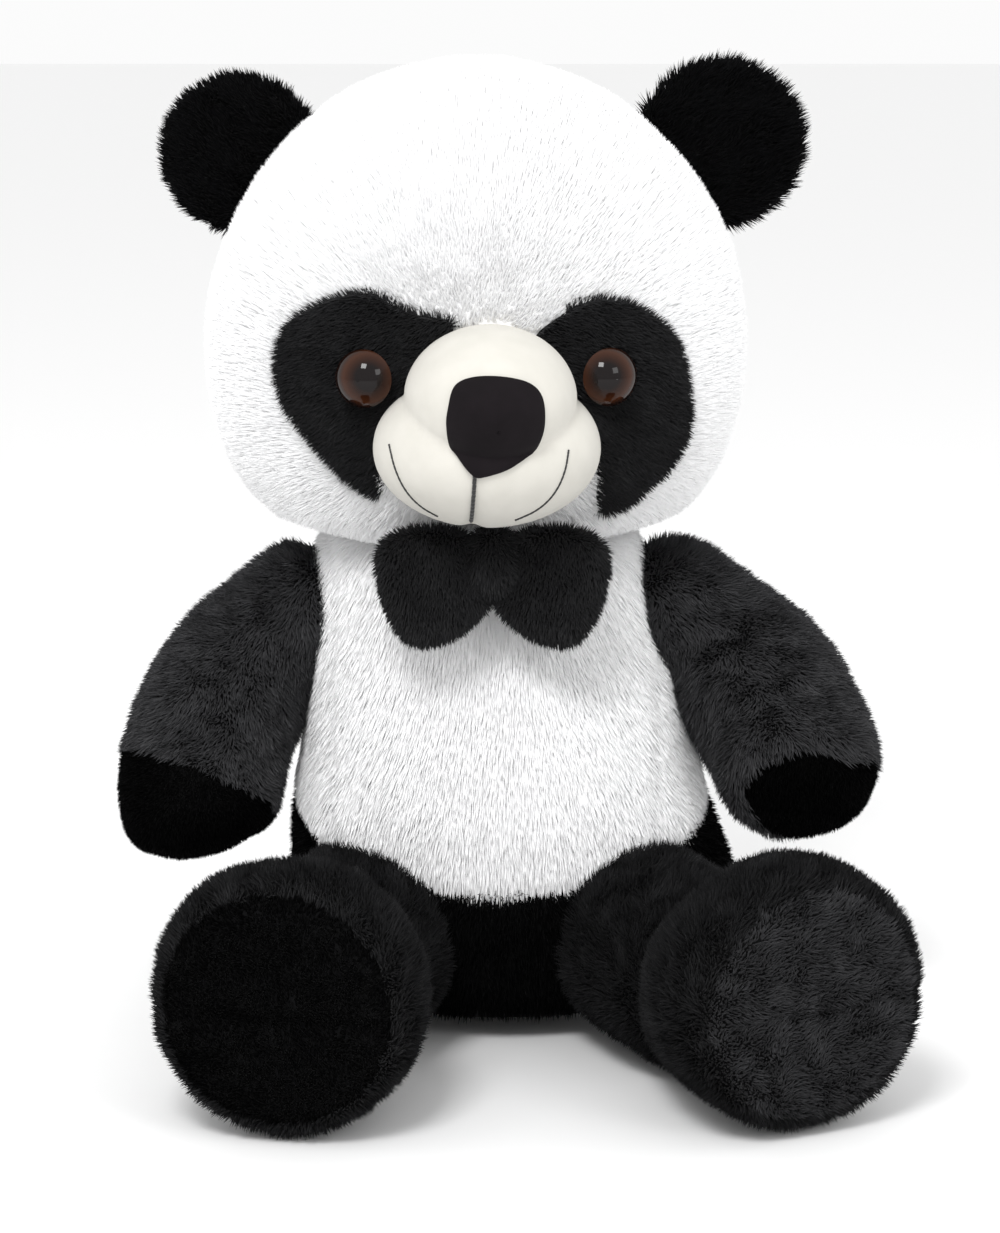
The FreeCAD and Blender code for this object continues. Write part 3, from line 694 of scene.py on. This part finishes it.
black_cloth = cloth_material(
    "black_plush_ground", (0.0012, 0.0012, 0.0014), (0.005, 0.005, 0.0055), 900.0, 0.6 * MM, 0.8,
    Sheen_Weight=0.02, Specular_IOR_Level=0.1,
)
# Copies of one black pile from darkest to lightest. The darkest are painted shade for parts turned down or
# away from the lamps, and the lightest are painted sheen highlights where the lamps catch the nap.
BLACK_PILE_SHADES = [
    # colour, specular
    ((0.0006, 0.0006, 0.0007), 0.03),
    ((0.004, 0.004, 0.0045), 0.05),
    ((0.018, 0.018, 0.019), 0.12),
    ((0.05, 0.05, 0.053), 0.2),
    ((0.13, 0.131, 0.138), 0.3),
    ((0.22, 0.221, 0.23), 0.4),
]
black_pile = [
    plain_material(f"black_pile_{number}", shade, 0.55, Sheen_Weight=0.02, Specular_IOR_Level=specular)
    for number, (shade, specular) in enumerate(BLACK_PILE_SHADES)
]
# Sets of these copies for different parts: painted shade, a half-lit mix, lit, and brightest as painted
# highlight.
painted_shade_pile = [black_pile[0], black_pile[0], black_pile[1]]
half_lit_pile = [black_pile[2], black_pile[2], black_pile[3]]
lit_pile = black_pile[2:5]
painted_highlight_pile = black_pile[3:]
patches = []
for side, corners in (("right", RIGHT_PATCH), ("left", LEFT_PATCH)):
    patch = applique(f"{side}_patch_plush", corners, head, PATCH_LIFT, 1.2 * MM, black_cloth, rings=16)
    patches.append(patch)
    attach(patch, "head")
    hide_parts(f"{side}_eye_patch")
    low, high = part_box(f"{side}_eye_dome")
    eye_middle = (low + high) / 2

    def clear_of_eye(places, normals, eye_middle=eye_middle):
        """No pile under the muzzle, behind the eye or on the inner side of the patch."""
        from_eye = np.hypot(places[:, 0] - eye_middle.x, places[:, 2] - eye_middle.z)
        here = in_head(places)
        out = np.minimum(oval(here, CHEEK_CENTRE, CHEEK_HALF), oval(here, BRIDGE_CENTRE, BRIDGE_HALF))
        facing = np.sum(normals * (places - np.array(HEAD_CENTRE)), axis=1) > 0
        return (from_eye > EYE_CLEARANCE) & (out > 0.98) & facing

    outward = Vector((-0.5 if side == "right" else 0.5, 0, -0.3))
    tufts = grow_pile(
        patch, f"{side}_patch_pile", lit_pile, 2.4e6, 4.2 * MM, 0.4 * MM, outward,
        bare=clear_of_eye, seed=11,
    )
    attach(tufts, "head")

# ---- mouth: stitched by hand through the velour with black thread ----
# One heavy upright line under the nose and a thin smile line on each cheek.

UPRIGHT_LINE = [(-7, -34), (-7.4, -44), (-7.6, -51), (-7.6, -58)]
RIGHT_SMILE = [(-40.5, -27), (-38.5, -36), (-34.5, -45), (-28.5, -52), (-21, -56.5)]
LEFT_SMILE = [(31, -28), (29.5, -37), (25.5, -46), (19, -53), (10, -57.5)]
STITCH_STEP = 1.7 * MM

black_thread = cloth_material(
    "black_thread", (0.008, 0.008, 0.008), (0.02, 0.02, 0.02), 5000.0, 0.08 * MM, 0.55, Sheen_Weight=0.2
)


def stitch_line(form, corners, base, radius):
    """Short overlapping stitches along a line laid on the base."""
    tree = BVHTree.FromObject(base, bpy.context.evaluated_depsgraph_get())
    back = head_frame.to_3x3() @ Vector((0, 1, 0))
    corners = [Vector((x, 0, z)) * MM for x, z in corners]
    for step in range(2):
        cut = []
        for start, end in zip(corners, corners[1:]):
            cut.extend((start.lerp(end, 0.25), start.lerp(end, 0.75)))
        corners = [corners[0], *cut, corners[-1]]
    track = []
    for start, end in zip(corners, corners[1:]):
        count = max(1, round((end - start).length / STITCH_STEP))
        track.extend(start.lerp(end, number / count) for number in range(count))
    track.append(corners[-1])
    laid = []
    for point in track:
        place = head_frame @ point
        hit, normal, index, reach = tree.ray_cast(place - back * 0.3, back)
        if hit is not None:
            laid.append(hit + normal * radius * 0.4)
    for start, end in zip(laid, laid[1:]):
        middle = (start + end) / 2
        turn = (end - start).to_track_quat("Z", "Y").to_matrix().to_4x4()
        long = (end - start).length * 0.78
        size = Matrix.Diagonal((radius, radius, long, 1))
        bmesh.ops.create_icosphere(
            form, subdivisions=1, radius=1.0, matrix=Matrix.Translation(middle) @ turn @ size
        )


mouth_form = bmesh.new()
stitch_line(mouth_form, UPRIGHT_LINE, muzzle, 1.0 * MM)
stitch_line(mouth_form, RIGHT_SMILE, muzzle, 0.5 * MM)
stitch_line(mouth_form, LEFT_SMILE, muzzle, 0.5 * MM)
mouth = make_piece("mouth_thread", mouth_form, black_thread)
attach(mouth, "head")
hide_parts("mouth_stitches")

# ---- eyes: domed safety eyes, locked behind the cloth by a washer ----
# The dome shows a brown ring round a black pupil; its shank and washer are hidden.

IRIS_STOPS = [
    # distance from the pupil as a share of the eye, colour
    (0.0, (0.005, 0.003, 0.003)),
    (0.36, (0.005, 0.003, 0.003)),
    (0.48, (0.014, 0.005, 0.003)),
    (0.78, (0.042, 0.013, 0.005)),
    (1.0, (0.008, 0.003, 0.002)),
]
EYE_REACH = 14.1 * MM
GAZE = Vector((0, -1, 0.1))


def iris_material(name, pupil):
    """A glossy dome: black pupil, brown ring and dark rim, by distance from its foremost point."""
    material = plain_material(name, (0.12, 0.04, 0.02), 0.05, Specular_IOR_Level=0.22)
    nodes = material.node_tree.nodes
    links = material.node_tree.links
    place = nodes.new("ShaderNodeTexCoord")
    centred = nodes.new("ShaderNodeMapping")
    centred.vector_type = "POINT"
    centred.inputs["Location"].default_value = -pupil / EYE_REACH
    centred.inputs["Scale"].default_value = (1 / EYE_REACH, 1 / EYE_REACH, 1 / EYE_REACH)
    away = nodes.new("ShaderNodeVectorMath")
    away.operation = "LENGTH"
    ramp = nodes.new("ShaderNodeValToRGB")
    stops = ramp.color_ramp.elements
    for number, (share, colour) in enumerate(IRIS_STOPS):
        stop = stops[number] if number < 2 else stops.new(share)
        stop.position = share
        stop.color = (*colour, 1)
    links.new(place.outputs["Object"], centred.inputs["Vector"])
    links.new(centred.outputs[0], away.inputs[0])
    links.new(away.outputs["Value"], ramp.inputs["Fac"])
    links.new(ramp.outputs["Color"], nodes["Principled BSDF"].inputs["Base Color"])
    return material


def moulded_material(name, dark, light, roughness):
    """Moulded plastic with the faint flow of its moulding."""
    return cloth_material(name, dark, light, 1500.0, 0.03 * MM, roughness)


eye_black = moulded_material("eye_black", (0.004, 0.004, 0.004), (0.010, 0.010, 0.010), 0.3)
washer_white = moulded_material("washer_white", (0.70, 0.70, 0.68), (0.82, 0.82, 0.80), 0.5)


def paint(node, material):
    """Give a CAD part that stays its finish."""
    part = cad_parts[node]
    part.data.materials.clear()
    part.data.materials.append(material)


for side in ("right", "left"):
    dome_points = points_of(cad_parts[f"{side}_eye_dome"])
    foremost = (dome_points @ np.array(head_frame.to_3x3() @ GAZE)).argmax()
    paint(f"{side}_eye_dome", iris_material(f"{side}_iris", Vector(dome_points[foremost])))
    paint(f"{side}_eye_pupil", eye_black)
    paint(f"{side}_eye_shank", eye_black)
    paint(f"{side}_eye_washer", washer_white)

# ---- head pile: short white plush, brushed back from the face ----
# It is cut away under the sewn-on pieces and inside the collar.

HEAD_PILE_PARTS = 3
COLLAR_TOP = 192 * MM
PATCH_COVER = 8 * MM
patch_trees = [BVHTree.FromObject(patch, bpy.context.evaluated_depsgraph_get()) for patch in patches]


def clear_of_face(places, normals):
    """No pile under the eye patches and the muzzle, or down in the collar."""
    here = in_head(places)
    out = np.minimum(oval(here, CHEEK_CENTRE, CHEEK_HALF), oval(here, BRIDGE_CENTRE, BRIDGE_HALF))
    free = (out > 0.97) & (places[:, 2] > COLLAR_TOP)
    for index in np.flatnonzero(free & (here[:, 1] < -0.03)):
        start = Vector(places[index])
        normal = Vector(normals[index])
        free[index] = all(tree.ray_cast(start, normal, PATCH_COVER)[0] is None for tree in patch_trees)
    return free


for number in range(HEAD_PILE_PARTS):
    tufts = grow_pile(
        head, f"head_pile_{number + 1}", white_pile, 0.5e6, 4.8 * MM, 0.5 * MM, Vector((0, 1.3, 0.4)),
        clump=0.7, stray=0.12, bare=clear_of_face, seed=21 + number,
    )
    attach(tufts, "head")

# ---- ears: two round pieces of black plush round a thin filling ----
# Each is sewn into the seam over the crown. The long pile makes it shaggy.

EAR_MIDDLES = {"right": Vector((-101, 8, 82)) * MM, "left": Vector((106, 8, 86)) * MM}
EAR_RADII = {"right": 34.5 * MM, "left": 36 * MM}
EAR_PILE = {"right": 5.5 * MM, "left": 7.5 * MM}
EAR_THICK = 6.5 * MM
EAR_CUP = 3.0 * MM

for side, middle in EAR_MIDDLES.items():
    radius = EAR_RADII[side]
    ear_form = bmesh.new()
    bmesh.ops.create_icosphere(ear_form, subdivisions=5, radius=1.0)
    bmesh.ops.scale(ear_form, vec=(radius, EAR_THICK, radius), verts=ear_form.verts)
    for vert in ear_form.verts:
        if vert.co.y < 0:
            share = Vector((vert.co.x, 0, vert.co.z)).length / radius
            vert.co.y += EAR_CUP * max(0, 1 - share**2)
    bmesh.ops.translate(ear_form, vec=middle, verts=ear_form.verts)
    bmesh.ops.transform(ear_form, matrix=head_frame, verts=ear_form.verts)
    ear = make_piece(f"{side}_ear_plush", ear_form, black_cloth)

    def rim_seam(places, middle=middle, radius=radius):
        away = in_head(places) - np.array(middle)
        return np.hypot(np.hypot(away[:, 0], away[:, 2]) - radius, away[:, 1])

    even_mesh(ear, 3.0 * MM)
    swell(ear, [rim_seam], most=1.5 * MM)
    draw_in(ear, [rim_seam], 0.8 * MM, 3 * MM)
    outward = Vector((middle.x, 0, middle.z)).normalized()

    def above_scalp(places, normals):
        inside = oval(in_head(places), (0, 0, 0), HEAD_HALF)
        return inside > 0.93

    # The ears take a middle run of the black pile's copies, between the painted shade and the painted
    # highlight.
    tufts = grow_pile(
        ear, f"{side}_ear_pile", black_pile[1:4], 2.2e6, EAR_PILE[side], 0.4 * MM, outward * 0.7, clump=2.0,
        bare=above_scalp, seed=31,
    )
    for piece in (ear, tufts):
        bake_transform(piece)
    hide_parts(f"{side}_ear_front", f"{side}_ear_back", f"{side}_ear_stuffing")

# ---- torso: a white belly and back over a black seat, one stuffed bag ----
# Front panel and two side-back panels meet in upright seams. The white top is sewn to the
# black seat along a seam that dips in front, and its pile hangs over it.

TORSO_SECTIONS = [
    # height, middle x, middle y, half width, half depth, all in millimetres
    (4.0, 2.0, -2.0, 66.0, 54.0),
    (8.0, 2.0, -3.0, 78.0, 66.0),
    (25.0, 2.0, -5.0, 90.0, 79.0),
    (55.0, 2.0, -7.0, 93.5, 84.0),
    (95.0, 2.0, -7.0, 92.0, 85.0),
    (130.0, 1.0, -5.0, 86.5, 79.0),
    (165.0, -3.0, -2.0, 80.0, 73.0),
    (190.0, -6.0, 0.0, 77.0, 71.0),
    (206.0, -7.0, 0.0, 73.0, 68.0),
    (217.0, -8.0, 0.0, 64.0, 61.0),
    (226.0, -8.0, 0.0, 48.0, 48.0),
]
BELLY_PANEL_HALF_WIDTH = 69 * MM
TORSO_PILE_PARTS = 2
WAIST_RADIUS = 1000 * MM
WAIST_CENTRE = Vector((0, 257, -869.5)) * MM
SHOULDERS = {"right": Vector((-85, -2, 176)) * MM, "left": Vector((80, -2, 178)) * MM}
HIPS = {"right": Vector((-55, -60, 46)) * MM, "left": Vector((62, -64, 46)) * MM}
HAUNCH_MIDDLE = Vector((94, -20, 54)) * MM
HAUNCH_REACH = 40 * MM
HAUNCH_PUSH = 13 * MM
CLOTH_BOTTOM = 3 * MM
SEAM_GAP = 0.4 * MM
UNDERSIDE = 12 * MM
SHOULDER_COVER = 18 * MM
HIP_COVER = 34 * MM

torso_form = bmesh.new()
rings = []
for height, x, y, half_width, half_depth in TORSO_SECTIONS:
    size = Matrix.Diagonal((half_width * MM - PILE_DEPTH, half_depth * MM - PILE_DEPTH, 1, 1))
    place = Matrix.Translation(Vector((x, y, height)) * MM)
    made = bmesh.ops.create_circle(torso_form, segments=96, radius=1.0, matrix=place @ size)["verts"]
    rings.append(list({edge for vert in made for edge in vert.link_edges}))
for lower, upper in zip(rings, rings[1:]):
    bmesh.ops.bridge_loops(torso_form, edges=lower + upper)
for ring in (rings[0], rings[-1]):
    bmesh.ops.contextual_create(torso_form, geom=ring)
torso = make_piece("torso_plush", torso_form, white_cloth)


def waist_gap(places):
    """How far places are outside the round cut between the white top and the seat."""
    return np.hypot(places[:, 1] - WAIST_CENTRE.y, places[:, 2] - WAIST_CENTRE.z) - WAIST_RADIUS


def waist_seam(places):
    return np.abs(waist_gap(places))


def belly_seams(places):
    """The two seams beside the belly panel, and the one down the middle of the back."""
    side = np.where(places[:, 1] < 0, np.abs(np.abs(places[:, 0]) - BELLY_PANEL_HALF_WIDTH), 1.0)
    spine = np.where(places[:, 1] > 0, np.abs(places[:, 0]), 1.0)
    return np.minimum(side, spine)


even_mesh(torso, 5.0 * MM)
swell(torso, [waist_seam, belly_seams], most=3.0 * MM)
finer(torso)
draw_in(torso, [waist_seam], 1.8 * MM, 3.5 * MM)
draw_in(torso, [belly_seams], 1.2 * MM, 3 * MM)
dimple(torso, 1.6 * MM, 0.035, 3)

# It sits flat, and its left haunch bulges over the leg.
places = points_of(torso)
places[:, 2] = np.maximum(places[:, 2], CLOTH_BOTTOM)
near = np.linalg.norm((places - np.array(HAUNCH_MIDDLE)) / HAUNCH_REACH, axis=1)
places[:, 0] += HAUNCH_PUSH * np.exp(-(near**2) * 2)
move_points(torso, places)

waist_form = bmesh.new()
bmesh.ops.create_cone(
    waist_form, cap_ends=True, segments=720, radius1=WAIST_RADIUS, radius2=WAIST_RADIUS, depth=0.5,
    matrix=Matrix.Translation(WAIST_CENTRE) @ Matrix.Rotation(math.pi / 2, 4, "Y"),
)
waist = make_piece("waist_cut", waist_form)
seat = bpy.data.objects.new("seat_plush", torso.data.copy())
scene.collection.objects.link(seat)
for piece, operation in ((torso, "DIFFERENCE"), (seat, "INTERSECT")):
    cut = piece.modifiers.new("cut", "BOOLEAN")
    cut.operation = operation
    cut.object = waist
    settle(piece)
bpy.data.objects.remove(waist)
for piece, material in ((torso, white_cloth), (seat, black_cloth)):
    piece.data.materials.clear()
    piece.data.materials.append(material)
    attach(piece, "torso")
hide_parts("torso_front_panel", "torso_right_panel", "torso_left_panel", "torso_stuffing")
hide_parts("seat_front_panel", "seat_right_panel", "seat_left_panel")


def on_torso(places, normals):
    """No pile on the cut under the waist seam, inside the neck, or where the limbs are sewn in."""
    free = waist_seam(places) > SEAM_GAP
    free &= np.linalg.norm(places - np.array(NECK_POINT), axis=1) > NECK_RADIUS * 0.85
    free &= (normals[:, 2] > -0.6) | (places[:, 2] > UNDERSIDE)
    for side in ("right", "left"):
        free &= np.linalg.norm(places - np.array(SHOULDERS[side]), axis=1) > SHOULDER_COVER
        free &= np.linalg.norm(places - np.array(HIPS[side]), axis=1) > HIP_COVER
    return free


for number in range(TORSO_PILE_PARTS):
    tufts = grow_pile(
        torso, f"torso_pile_{number + 1}", white_pile, 0.52e6, 6.4 * MM, 0.58 * MM, Vector((0, 0, -1.9)),
        clump=0.7, stray=0.1, bare=on_torso, seed=41 + number,
    )
    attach(tufts, "torso")
# The seat takes the painted shade copy of the black pile.
tufts = grow_pile(
    seat, "seat_pile", painted_shade_pile, 1.0e6, 5.2 * MM, 0.5 * MM, Vector((0, 0, -0.6)), bare=on_torso, seed=45
)
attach(tufts, "torso")

# The back is closed by hand with ladder stitches.
white_thread = cloth_material(
    "white_thread", (0.62, 0.62, 0.60), (0.85, 0.85, 0.83), 5000.0, 0.08 * MM, 0.6, Sheen_Weight=0.2
)
paint("back_closing_stitches", white_thread)

# ---- neck: a loose wad of fibre in the neck opening, on which the head turns ----


def copy_of(node, name, material):
    """A merged copy of a CAD part's mesh, to be worked into a soft piece."""
    form = bmesh.new()
    form.from_mesh(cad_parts[node].data)
    bmesh.ops.remove_doubles(form, verts=form.verts, dist=0.01 * MM)
    return make_piece(name, form, material)


fibre_fill = cloth_material(
    "fibre_fill", (0.78, 0.78, 0.77), (0.92, 0.92, 0.92), 700.0, 1.5 * MM, 0.95, Sheen_Weight=0.3
)
wad = even_mesh(copy_of("neck_stuffing", "neck_wad", fibre_fill), 2.5 * MM)
dimple(wad, 0.6 * MM, 0.008, 5)
wad.data.materials.clear()
wad.data.materials.append(fibre_fill)
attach(wad, "neck")
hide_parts("neck_stuffing")

# ---- arms: two long panels of black plush and a round paw disc ----
# The seams run down the inside and outside; the disc is sewn round the open end.

SEAM_TILT = {"right": math.radians(-25), "left": math.radians(-40)}
SEAM_POINTS = {"right": Vector((-127, -26, 115)) * MM, "left": Vector((126, -31, 127)) * MM}
PAW_RADIUS = 25 * MM
DISC_DEPTH = 12 * MM
ARM_ROOT = 25 * MM
ARM_LUMPS = {"right": 7, "left": 9}
PAW_ROUNDING = {"right": 4.5 * MM, "left": 1.0 * MM}
# How far the paw pile's painted shade reaches up the arm past the disc.
PAW_SHADE_WRAP = {"right": 30 * MM, "left": 0.0}


def disc_of(node):
    """Middle and facing of a flat round CAD part."""
    places = points_of(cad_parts[node])
    middle = (places.min(axis=0) + places.max(axis=0)) / 2
    facing = np.linalg.svd(places - places.mean(axis=0), full_matrices=False)[2][2]
    return middle, facing


def ring_seam(middle, facing, radius):
    """Distance from a round seam."""
    def away(places):
        along = (places - middle) @ facing
        across = np.linalg.norm(places - middle - along[:, None] * facing, axis=1)
        return np.hypot(across - radius, along)
    return away


def on_disc(places, middle, facing, radius):
    """Where a face lies on the end disc of a limb, inside its seam."""
    along = np.abs((places - middle) @ facing)
    across = np.linalg.norm(places - middle, axis=1)
    return (across < radius) & (along < DISC_DEPTH)


for side in ("right", "left"):
    arm = even_mesh(copy_of(f"{side}_arm_stuffing", f"{side}_arm_plush", black_cloth), 4.0 * MM)
    paw_middle, paw_facing = disc_of(f"{side}_paw_disc")
    paw_seam = ring_seam(paw_middle, paw_facing, PAW_RADIUS)
    across = Matrix.Rotation(SEAM_TILT[side], 3, "X") @ Vector((0, 1, 0))

    def side_seam(places, side=side, across=across):
        return np.abs((places - np.array(SEAM_POINTS[side])) @ np.array(across))

    swell(arm, [paw_seam, side_seam], most=2.0 * MM)
    finer(arm)
    draw_in(arm, [paw_seam], PAW_ROUNDING[side], 10 * MM)
    draw_in(arm, [paw_seam], 2.0 * MM, 2.6 * MM)
    draw_in(arm, [side_seam], 1.0 * MM, 3 * MM)
    dimple(arm, 1.4 * MM, 0.03, ARM_LUMPS[side])
    arm.data.materials.clear()
    arm.data.materials.append(black_cloth)
    shoulder = SHOULDERS[side]
    down = Vector(paw_middle) - shoulder

    def below_root(places, normals, shoulder=shoulder, down=down.normalized()):
        return (places - np.array(shoulder)) @ np.array(down) > -ARM_ROOT

    def on_paw(places, normals, side=side, middle=paw_middle, facing=paw_facing, down=down.normalized()):
        wrap = (middle - places) @ np.array(down) < PAW_SHADE_WRAP[side]
        return on_disc(places, middle, facing, PAW_RADIUS) | wrap

    def off_paw(places, normals, below_root=below_root, on_paw=on_paw):
        return below_root(places, normals) & ~on_paw(places, normals)

    # The arm pile is the brightest copy of the black pile, as painted highlights. The paw pile is the
    # painted shade copy.
    tufts = grow_pile(
        arm, f"{side}_arm_pile", painted_highlight_pile, 1.35e6, 5.4 * MM, 0.45 * MM, down.normalized() * 0.75,
        clump=1.9, bare=off_paw, seed=51,
    )
    paw = grow_pile(
        arm, f"{side}_paw_pile", painted_shade_pile, 2.4e6, 3.2 * MM, 0.4 * MM, Vector((0, 0, -0.4)),
        bare=on_paw, seed=52,
    )
    for piece in (arm, tufts, paw):
        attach(piece, f"{side}_arm")
    nodes = [f"{side}_arm_{part}" for part in ("front_panel", "back_panel", "stuffing")]
    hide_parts(*nodes, f"{side}_paw_disc")

# ---- legs: upper and lower panels of black plush and a round sole disc ----
# The foot swells past the ankle and the sole is sewn round its edge. The legs rest on the floor.

SOLE_RADIUS = 46 * MM
LEG_SEAM_HEIGHT = 51.5 * MM
ANKLE_SHARE = 0.45
LEG_ROOT = 16 * MM
LEG_LUMPS = {"right": 12, "left": 15}
# The right sole takes the painted shade copy of the black pile, and the left sole takes lit copies as
# painted sheen.
SOLE_LIGHT_AND_SHADE = {"right": painted_shade_pile, "left": [black_pile[3], black_pile[3], black_pile[4]]}

for side in ("right", "left"):
    leg = even_mesh(copy_of(f"{side}_leg_stuffing", f"{side}_leg_plush", black_cloth), 4.5 * MM)
    sole_middle, sole_facing = disc_of(f"{side}_sole_disc")
    sole_seam = ring_seam(sole_middle, sole_facing, SOLE_RADIUS)

    def leg_seam(places):
        return np.abs(places[:, 2] - LEG_SEAM_HEIGHT)

    hip = HIPS[side]
    reach = Vector(sole_middle) - hip

    def ankle_crease(places, hip=hip, reach=reach):
        along = (places - np.array(hip)) @ np.array(reach) / reach.length
        return np.abs(along - ANKLE_SHARE * reach.length)

    swell(leg, [sole_seam, leg_seam], most=2.2 * MM)
    finer(leg)
    draw_in(leg, [sole_seam], 2.0 * MM, 3 * MM)
    draw_in(leg, [leg_seam], 1.0 * MM, 3 * MM)
    draw_in(leg, [ankle_crease], 4.0 * MM, 8 * MM)
    dimple(leg, 1.6 * MM, 0.035, LEG_LUMPS[side])
    places = points_of(leg)
    places[:, 2] = np.maximum(places[:, 2], CLOTH_BOTTOM)
    move_points(leg, places)
    leg.data.materials.clear()
    leg.data.materials.append(black_cloth)
    ahead = reach.normalized()

    def beyond_hip(places, normals, hip=hip, ahead=ahead):
        return (places - np.array(hip)) @ np.array(ahead) > -LEG_ROOT

    def on_sole(places, normals, sole_middle=sole_middle, sole_facing=sole_facing):
        return on_disc(places, sole_middle, sole_facing, SOLE_RADIUS)

    def off_sole(places, normals, beyond_hip=beyond_hip, on_sole=on_sole):
        return beyond_hip(places, normals) & ~on_sole(places, normals)

    tufts = grow_pile(
        leg, f"{side}_leg_pile", lit_pile, 1.1e6, 5.4 * MM, 0.48 * MM, Vector((0, 0, 0.55)) + ahead * 0.4,
        clump=2.0, bare=off_sole, seed=61,
    )
    sole = grow_pile(
        leg, f"{side}_sole_pile", SOLE_LIGHT_AND_SHADE[side], 1.5e6, 3.8 * MM, 0.45 * MM, Vector((0, 0, 0.5)),
        clump=2.0, bare=on_sole, seed=62,
    )
    for piece in (leg, tufts, sole):
        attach(piece, f"{side}_leg")
    nodes = [f"{side}_leg_{part}" for part in ("upper_panel", "lower_panel", "stuffing")]
    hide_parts(*nodes, f"{side}_sole_disc")

# ---- bow tie: two drooping padded lobes gathered into a small knot ----
# Short black plush, sewn on under the chin by its top edge only.

BOW_MIDDLE = Vector((-1, -91, 200)) * MM
BOW_REACH = 23.5 * MM
BOW_LIFT = 4.5 * MM
BOW_DROOP = math.radians(17)
LOBE_HALF = Vector((24.5, 7.5, 29)) * MM
KNOT_HALF = Vector((12, 8, 15)) * MM
KNOT_SHIFT = Vector((0, -1.5, 13)) * MM


def bow_piece(name, node, half, place, shape=None):
    """One padded piece of the bow, from a round form."""
    form = bmesh.new()
    bmesh.ops.create_icosphere(form, subdivisions=5, radius=1.0)
    for vert in form.verts:
        if shape is not None:
            vert.co = shape(vert.co)
    bmesh.ops.scale(form, vec=half, verts=form.verts)
    bmesh.ops.transform(form, matrix=place, verts=form.verts)
    piece = even_mesh(make_piece(name, form, black_cloth), 2.2 * MM)
    piece.data.materials.clear()
    piece.data.materials.append(black_cloth)
    # The bow's pile is a dimmer mix of the black pile's painted-light copies.
    tufts = grow_pile(
        piece, name.replace("plush", "pile"), half_lit_pile, 2.2e6, 4.0 * MM, 0.4 * MM, Vector((0, 0, -0.7)),
        seed=71,
    )
    for part in (piece, tufts):
        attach(part, "bow_tie")
    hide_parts(node)
    return piece


def gathered(co):
    """A lobe narrow and pleated at the knot, wide at its free end."""
    share = (co.x + 1) / 2
    narrow = 0.66 + 0.34 * share
    blunt = 1 / max(abs(co.x), abs(co.z), 0.6) ** 0.3
    pleat = 0.16 * (1 - share) * math.sin(co.z * 11)
    return Vector((co.x * blunt * 0.94, co.y * (0.85 + pleat) + pleat * 0.6, co.z * narrow * blunt))


bow_piece(
    "bow_knot_plush", "bow_knot", KNOT_HALF, Matrix.Translation(BOW_MIDDLE + KNOT_SHIFT)
)
for side, sign in (("right", -1), ("left", 1)):
    lean = Matrix.Rotation(sign * BOW_DROOP, 4, "Y")
    mirror = Matrix.Diagonal((sign, 1, 1, 1))
    place = Matrix.Translation(BOW_MIDDLE + Vector((sign * BOW_REACH, 0, BOW_LIFT)))
    bow_piece(f"bow_{side}_plush", f"bow_{side}_lobe", LOBE_HALF, place @ lean @ mirror, gathered)
